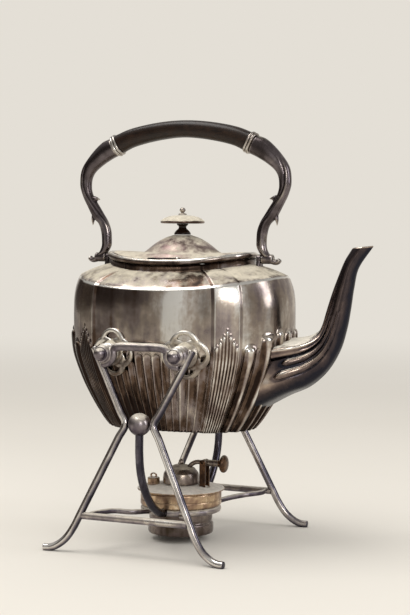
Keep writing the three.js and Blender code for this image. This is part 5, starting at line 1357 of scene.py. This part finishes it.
cup = [
    (0, 5), (23, 5), (24.4, 5.5), (25, 6.8), (25, 12.6), (24.5, 13.6), (23.9, 14.2), (23.7, 15.2),
    (24.2, 16.4), (24.2, 36.5), (22.9, 36.5), (22.9, 7.6), (20, 6.3), (0, 6.3)
]
cup_film = ("#bdb7b0", "#91867d", "#6a5f5c", "#43392f", "#1f1a18")
cup_plate = plated("smoked_silver_plate", cup_film, 18, 0.2, 0.5, 0.24, 0.3, dusty=0.6)
turn_up("cup_spun", cup, 120, 0.5, cup_plate, "lamp", "lamp_cup", "tarnished_silver")
# Spun brass, once plated: brown with a greenish grey bloom, and thick dry dust
lamp_film = ("#dacab4", "#bda486", "#967c68", "#665142", "#352b26")
lamp_metal = plated("dusty_spun_brass", lamp_film, 12, 0.22, 0.4, 0.26, 0.25, dust="#e2dbcf", dusty=0.95)
hanging = [
    (24.5, 26.7), (30, 26.7), (31, 27.7), (31, 31), (30.7, 31.6), (31, 32.2), (31, 36.6), (30.6, 37.9),
    (29.6, 37.9), (29.6, 28.1), (24.5, 28.1)
]
turn_up("band_spun", hanging, 128, 0.4, lamp_metal, "lamp", "lamp_band", "lamp_brass")
plate = [
    (6.1, 38.2), (32.4, 38.2), (33.2, 38.3), (33.5, 38.8), (33.2, 39.3), (32.2, 39.7), (29, 40.3), (24, 41.2),
    (17, 42), (10, 42.3), (6.1, 42.3)
]
filler, cap_x, cap_y = drum(2.9, 38.2, 43.2, 1.9), -20, -7
plate = joined(lathe(plate, segments=128, soft=0.4), lathe(filler, (cap_x, cap_y, 0), segments=48, soft=0.2))
put("plate_spun", *plate, lamp_metal, "lamp", ["lamp_plate"], "lamp_brass", smooth=50)
turn_up("wick_sleeve", drum(5.8, 21.1, 45.1, 4.6), 64, 0.3, lamp_metal, "lamp", "wick_tube", "lamp_brass")

# Plaited cotton, charred brown at the top: matt, with a coarse diagonal ply
turn = circle(60)
hoops = [np.array([[0, 0, 19.1]])]
for z in np.linspace(19.1, 46.6, 70):
    ply = np.abs(np.sin(5 * turn + z * 1.1)) * np.abs(np.sin(5 * turn - z * 1.1))
    r = 3.75 + 0.22 * ply
    hoops.append(np.column_stack([r * np.cos(turn), r * np.sin(turn), np.full(60, z)]))
hoops += [np.column_stack([2.6 * np.cos(turn), 2.6 * np.sin(turn), np.full(60, 47.0)]), np.array([[0, 0, 46.8]])]
cotton, tree, place = new_material("plaited_cotton_wick")
charred = ranged(tree, node(tree, "ShaderNodeSeparateXYZ", {0: place}).outputs[2], 0.0445, 0.047)
fibres = noise(tree, place, 0.6, 4)
fluff = mix(tree, fibres, linear("#8f8068"), linear("#c9bda3"), "RGBA")
colour = mix(tree, charred, fluff, linear("#2b221b"), "RGBA")
surface(tree, {"Base Color": colour, "Roughness": 0.95, "Normal": bumpy(tree, 0.6, 0.0002, fibres)})
put("wick_plait", *skin(hoops), cotton, "lamp", ["wick"], "cotton_wick", smooth=60)

# ---------------------------------------------------------------------------
# Filler cap. A turned screw cap with a wire loop, over the lamp's filling hole.

cap = [(0, 43.5), (3.3, 43.5), (3.3, 41.3), (4.5, 41.3), (4.7, 41.7), (4.7, 42.6), (4.4, 42.9), (4.7, 43.2)]
cap += [(4.7, 46.2), (4.3, 46.8), (0, 46.9)]
loop_turn = circle(40)
hoops = []
for r, y in round_section(0.7, 2.2, 0, 14):
    x, z = cap_x + r * np.cos(loop_turn), 48.2 + 0.75 * r * np.sin(loop_turn)
    hoops.append(np.column_stack([x, np.full(40, cap_y + y), z]))
cap = joined(lathe(cap, (cap_x, cap_y, 0), segments=64, soft=0.35), skin(hoops, closed=True))
put("cap_turned", *cap, lamp_metal, "cap", ["filler_cap"], "lamp_brass", smooth=50)

# ---------------------------------------------------------------------------
# Snuffer. A raised dome with a ball on top, on a cranked lever that rocks on a
# pin in a brass fork; the round knob at the lever's end lifts it.

lever_x, lever_z = 19.6, 59.7
dome = [
    (0, 57.1), (2.5, 57), (5.04, 56.78), (10.36, 54.5), (13.44, 50.62), (13.9, 47.6), (14, 45), (13.9, 42.9),
    (13.6, 42.7), (12.8, 42.7), (12.4, 50.2), (9.47, 53.7), (4.6, 55.6), (0, 55.9)
]
crank = [(7, 0, 55.9), (9.5, 0, 58.2)] + [(x, 0, lever_z) for x in (13.3, lever_x, 27.4, 32.3)]
crank = bend_through(crank, 10)
lever_eye = lathe(drum(2.55, -2.6, 2.6, 1.3), (lever_x, 0, lever_z), (0, 1, 0), 40, 0.3)
lever_film = ("#b79f7e", "#8d7153", "#6a4f3a", "#45342a", "#241c18")
lever_metal = plated("bronzed_brass", lever_film, 8, 0.18, 0.6, 0.24, 0.1, dusty=0.5)
snuffer_film = ("#cfc9c0", "#a3978a", "#7c716c", "#54473f", "#2b2624")
snuffer_plate = plated("dull_silver_plate", snuffer_film, 12, 0.2, 0.42, 0.24, 0.1, dusty=0.7)
lever = swept(crank, np.interp(crank[:, 0], [17, 23], [1.7, 2.5]))
snuffer = joined(lathe(dome, segments=96, soft=0.7), lever, lever_eye)
put("snuffer_dome", *snuffer, snuffer_plate, "snuffer_body", ["snuffer"], "silver_plate", smooth=50)
tip = [(0, 57.4), (1.6, 57.4), (2, 58.4), (2, 59.3), (1.4, 60.9), (0, 61.6)]
turn_up("snuffer_ball", tip, 48, 0.7, snuffer_plate, "snuffer_body", "snuffer_finial", "silver_plate", smooth=60)
knob = [
    (0, 31.6), (3, 31.6), (3.4, 33.2), (5.4, 33.8), (6.5, 34.7), (6.8, 35.7), (6.3, 36.9), (4.8, 37.7),
    (2.2, 38.1), (0, 38.2)
]
knob = lathe(knob, (0, 0, lever_z), (1, 0, 0), 64, 0.5)
put("lever_button", *knob, lever_metal, "snuffer_body", ["lever_knob"], "lamp_brass", smooth=60)

# ---------------------------------------------------------------------------
# Snuffer fork. A strip of brass bent up into two cheeks with round tops, and
# soldered to the lamp's plate, with a bright plated pin through both.


def cheek(inside, outside, half=2.4, foot=39.8):
    """A flat strip with a round top, between two distances from the middle."""
    outline = [(-half, foot), (half, foot)]
    outline += [(half * math.cos(a), lever_z + half * math.sin(a)) for a in np.linspace(0, math.pi, 17)]
    sides = []
    for y, shrink in ((inside, 0.25), (inside + 0.25, 0), (outside - 0.25, 0), (outside, 0.25)):
        eased = [(lever_x + x * (1 - shrink / half), y, z + (foot + 6 - z) * shrink / 12) for x, z in outline]
        sides.append(np.array(eased))
    return capped(sides)


saddle = lathe(drum(4.6, 39.8, 41.4), (lever_x, 0, 0), (0, 0, 1), 48, 0.3)
fork = joined(cheek(3.0, 4.5), cheek(-4.5, -3.0), saddle)
put("fork_strip", *fork, lever_metal, "lamp", ["snuffer_fork"], "lamp_brass", smooth=40)
pin = lathe(drum(1, -4.5, 4.5), (lever_x, 0, lever_z), (0, 1, 0), 32, 0.3)
put("fork_pin", *pin, bright_plate, "lamp", ["snuffer_pin"], "silver_plate")

# ---------------------------------------------------------------------------
# Studio. A pale floor that keeps the shadow, three wide soft lamps, and a pale
# room that metal reflects; the camera stands where the photographer did.

floor_mesh = bpy.data.meshes.new("floor")
floor_mesh.from_pydata([(-3, -3, 0), (3, -3, 0), (3, 3, 0), (-3, 3, 0)], [], [(0, 1, 2, 3)])
floor = bpy.data.objects.new("floor", floor_mesh)
bpy.context.scene.collection.objects.link(floor)
pale = linear("#e4dfd6")
paper, tree, place = new_material("pale_floor")
tone = mix(tree, noise(tree, place, 1000 / 3, 3), linear("#d8d3c9"), linear("#dcd7ce"), "RGBA")
matt = node(tree, "ShaderNodeBsdfPrincipled", {"Base Color": tone, "Roughness": 0.85}).outputs[0]
distance = node(tree, "ShaderNodeVectorMath", {0: place}, operation="LENGTH").outputs["Value"]
rays = node(tree, "ShaderNodeLightPath").outputs
fade = maths(tree, "MULTIPLY", ranged(tree, distance, 0.6, 2.4, kind="SMOOTHSTEP"), rays["Is Camera Ray"])
backdrop = node(tree, "ShaderNodeEmission", {"Color": pale, "Strength": 1.0}).outputs[0]
faded = node(tree, "ShaderNodeMixShader", {0: fade, 1: matt, 2: backdrop}).outputs[0]
node(tree, "ShaderNodeOutputMaterial", {"Surface": faded})
floor_mesh.materials.append(paper)
floor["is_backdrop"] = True

world = bpy.data.worlds.new("room")
bpy.context.scene.world = world
world.use_nodes = True
tree = world.node_tree
tree.nodes.clear()
way = node(tree, "ShaderNodeTexCoord").outputs["Generated"]
apart = node(tree, "ShaderNodeSeparateXYZ", {0: way}).outputs
bearing = ranged(tree, maths(tree, "ARCTAN2", apart[1], apart[0]), -math.pi, math.pi)
# The walls' tones by their bearing: windows ahead and behind, dark corners between
walls = [
    (-180, "#4c443e"), (-150, "#423a35"), (-126, "#514943"), (-115, "#69615b"), (-107, "#cfccc7"),
    (-87, "#e4e2df"), (-81, "#544c47"), (-74, "#5b534d"), (-68, "#f3f2f1"), (-38, "#eeedec"),
    (-28, "#8d867f"), (-10, "#b3aca5"), (8, "#6b635d"), (34, "#8a827b"), (60, "#cfcac2"),
    (76, "#e4dfd6"), (134, "#e4dfd6"), (146, "#5a514b"), (180, "#4c443e"),
]
walls = ramp(tree, bearing, [((degrees + 180) / 360, colour) for degrees, colour in walls])
ceiling = mix(tree, ranged(tree, apart[2], 0.2, 0.62, kind="SMOOTHSTEP"), walls, linear("#bab8b5"), "RGBA")
height = ranged(tree, apart[2], -1.0, 1.0)
soft = ramp(tree, height, [(0.35, "#6b6764"), (0.5, "#85817d"), (0.62, "#b3b0ad"), (0.82, "#f4f3f1")])
rays = node(tree, "ShaderNodeLightPath").outputs
mirror = mix(tree, rays["Is Glossy Ray"], soft, ceiling, "RGBA")
straight_on = maths(tree, "MAXIMUM", rays["Is Camera Ray"], rays["Is Transmission Ray"])
seen = mix(tree, straight_on, mirror, pale, "RGBA")
light = node(tree, "ShaderNodeBackground", {"Color": seen, "Strength": 1.0}).outputs[0]
node(tree, "ShaderNodeOutputWorld", {"Surface": light})


def soft_lamp(name, place, wide, tall, power, colour, aim=(0, 0, 0.15)):
    lamp = bpy.data.lights.new(name, "AREA")
    lamp.shape = "RECTANGLE"
    lamp.size, lamp.size_y, lamp.energy, lamp.color = wide, tall, power, linear(colour)[:3]
    made = bpy.data.objects.new(name, lamp)
    facing = (Vector(aim) - Vector(place)).to_track_quat("-Z", "Y")
    made.matrix_world = Matrix.Translation(place) @ facing.to_matrix().to_4x4()
    bpy.context.scene.collection.objects.link(made)


soft_lamp("top_light", (-0.35, -0.25, 1.25), 0.9, 0.6, 8.0, "#fffdfa")
soft_lamp("side_light", (0.95, -1.3, 0.62), 0.4, 0.5, 5.0, "#fffdf9")
soft_lamp("window_light", (1.3, 0.1, 0.6), 0.35, 0.8, 4.0, "#f6f8ff")

sight = Vector((-0.41118, 0.91024, -0.04902)).normalized()
right = sight.cross(Vector((0, 0, 1))).normalized()
above = right.cross(sight)
roll = math.radians(0.37)
right, above = right * math.cos(roll) + above * math.sin(roll), above * math.cos(roll) - right * math.sin(roll)
lens = bpy.data.cameras.new("camera")
lens.sensor_fit, lens.sensor_width, lens.sensor_height, lens.lens = "VERTICAL", 24, 36, 88.28
lens.clip_start, lens.clip_end = 0.05, 20
camera = bpy.data.objects.new("camera", lens)
stand = Vector((0.48878 + stand_middle, -1.03961, 0.23381))
camera.matrix_world = Matrix.Translation(stand) @ Matrix((right, above, -sight)).transposed().to_4x4()
bpy.context.scene.collection.objects.link(camera)
bpy.context.scene.camera = camera
bpy.context.scene.view_settings.view_transform = "Standard"

low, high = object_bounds()
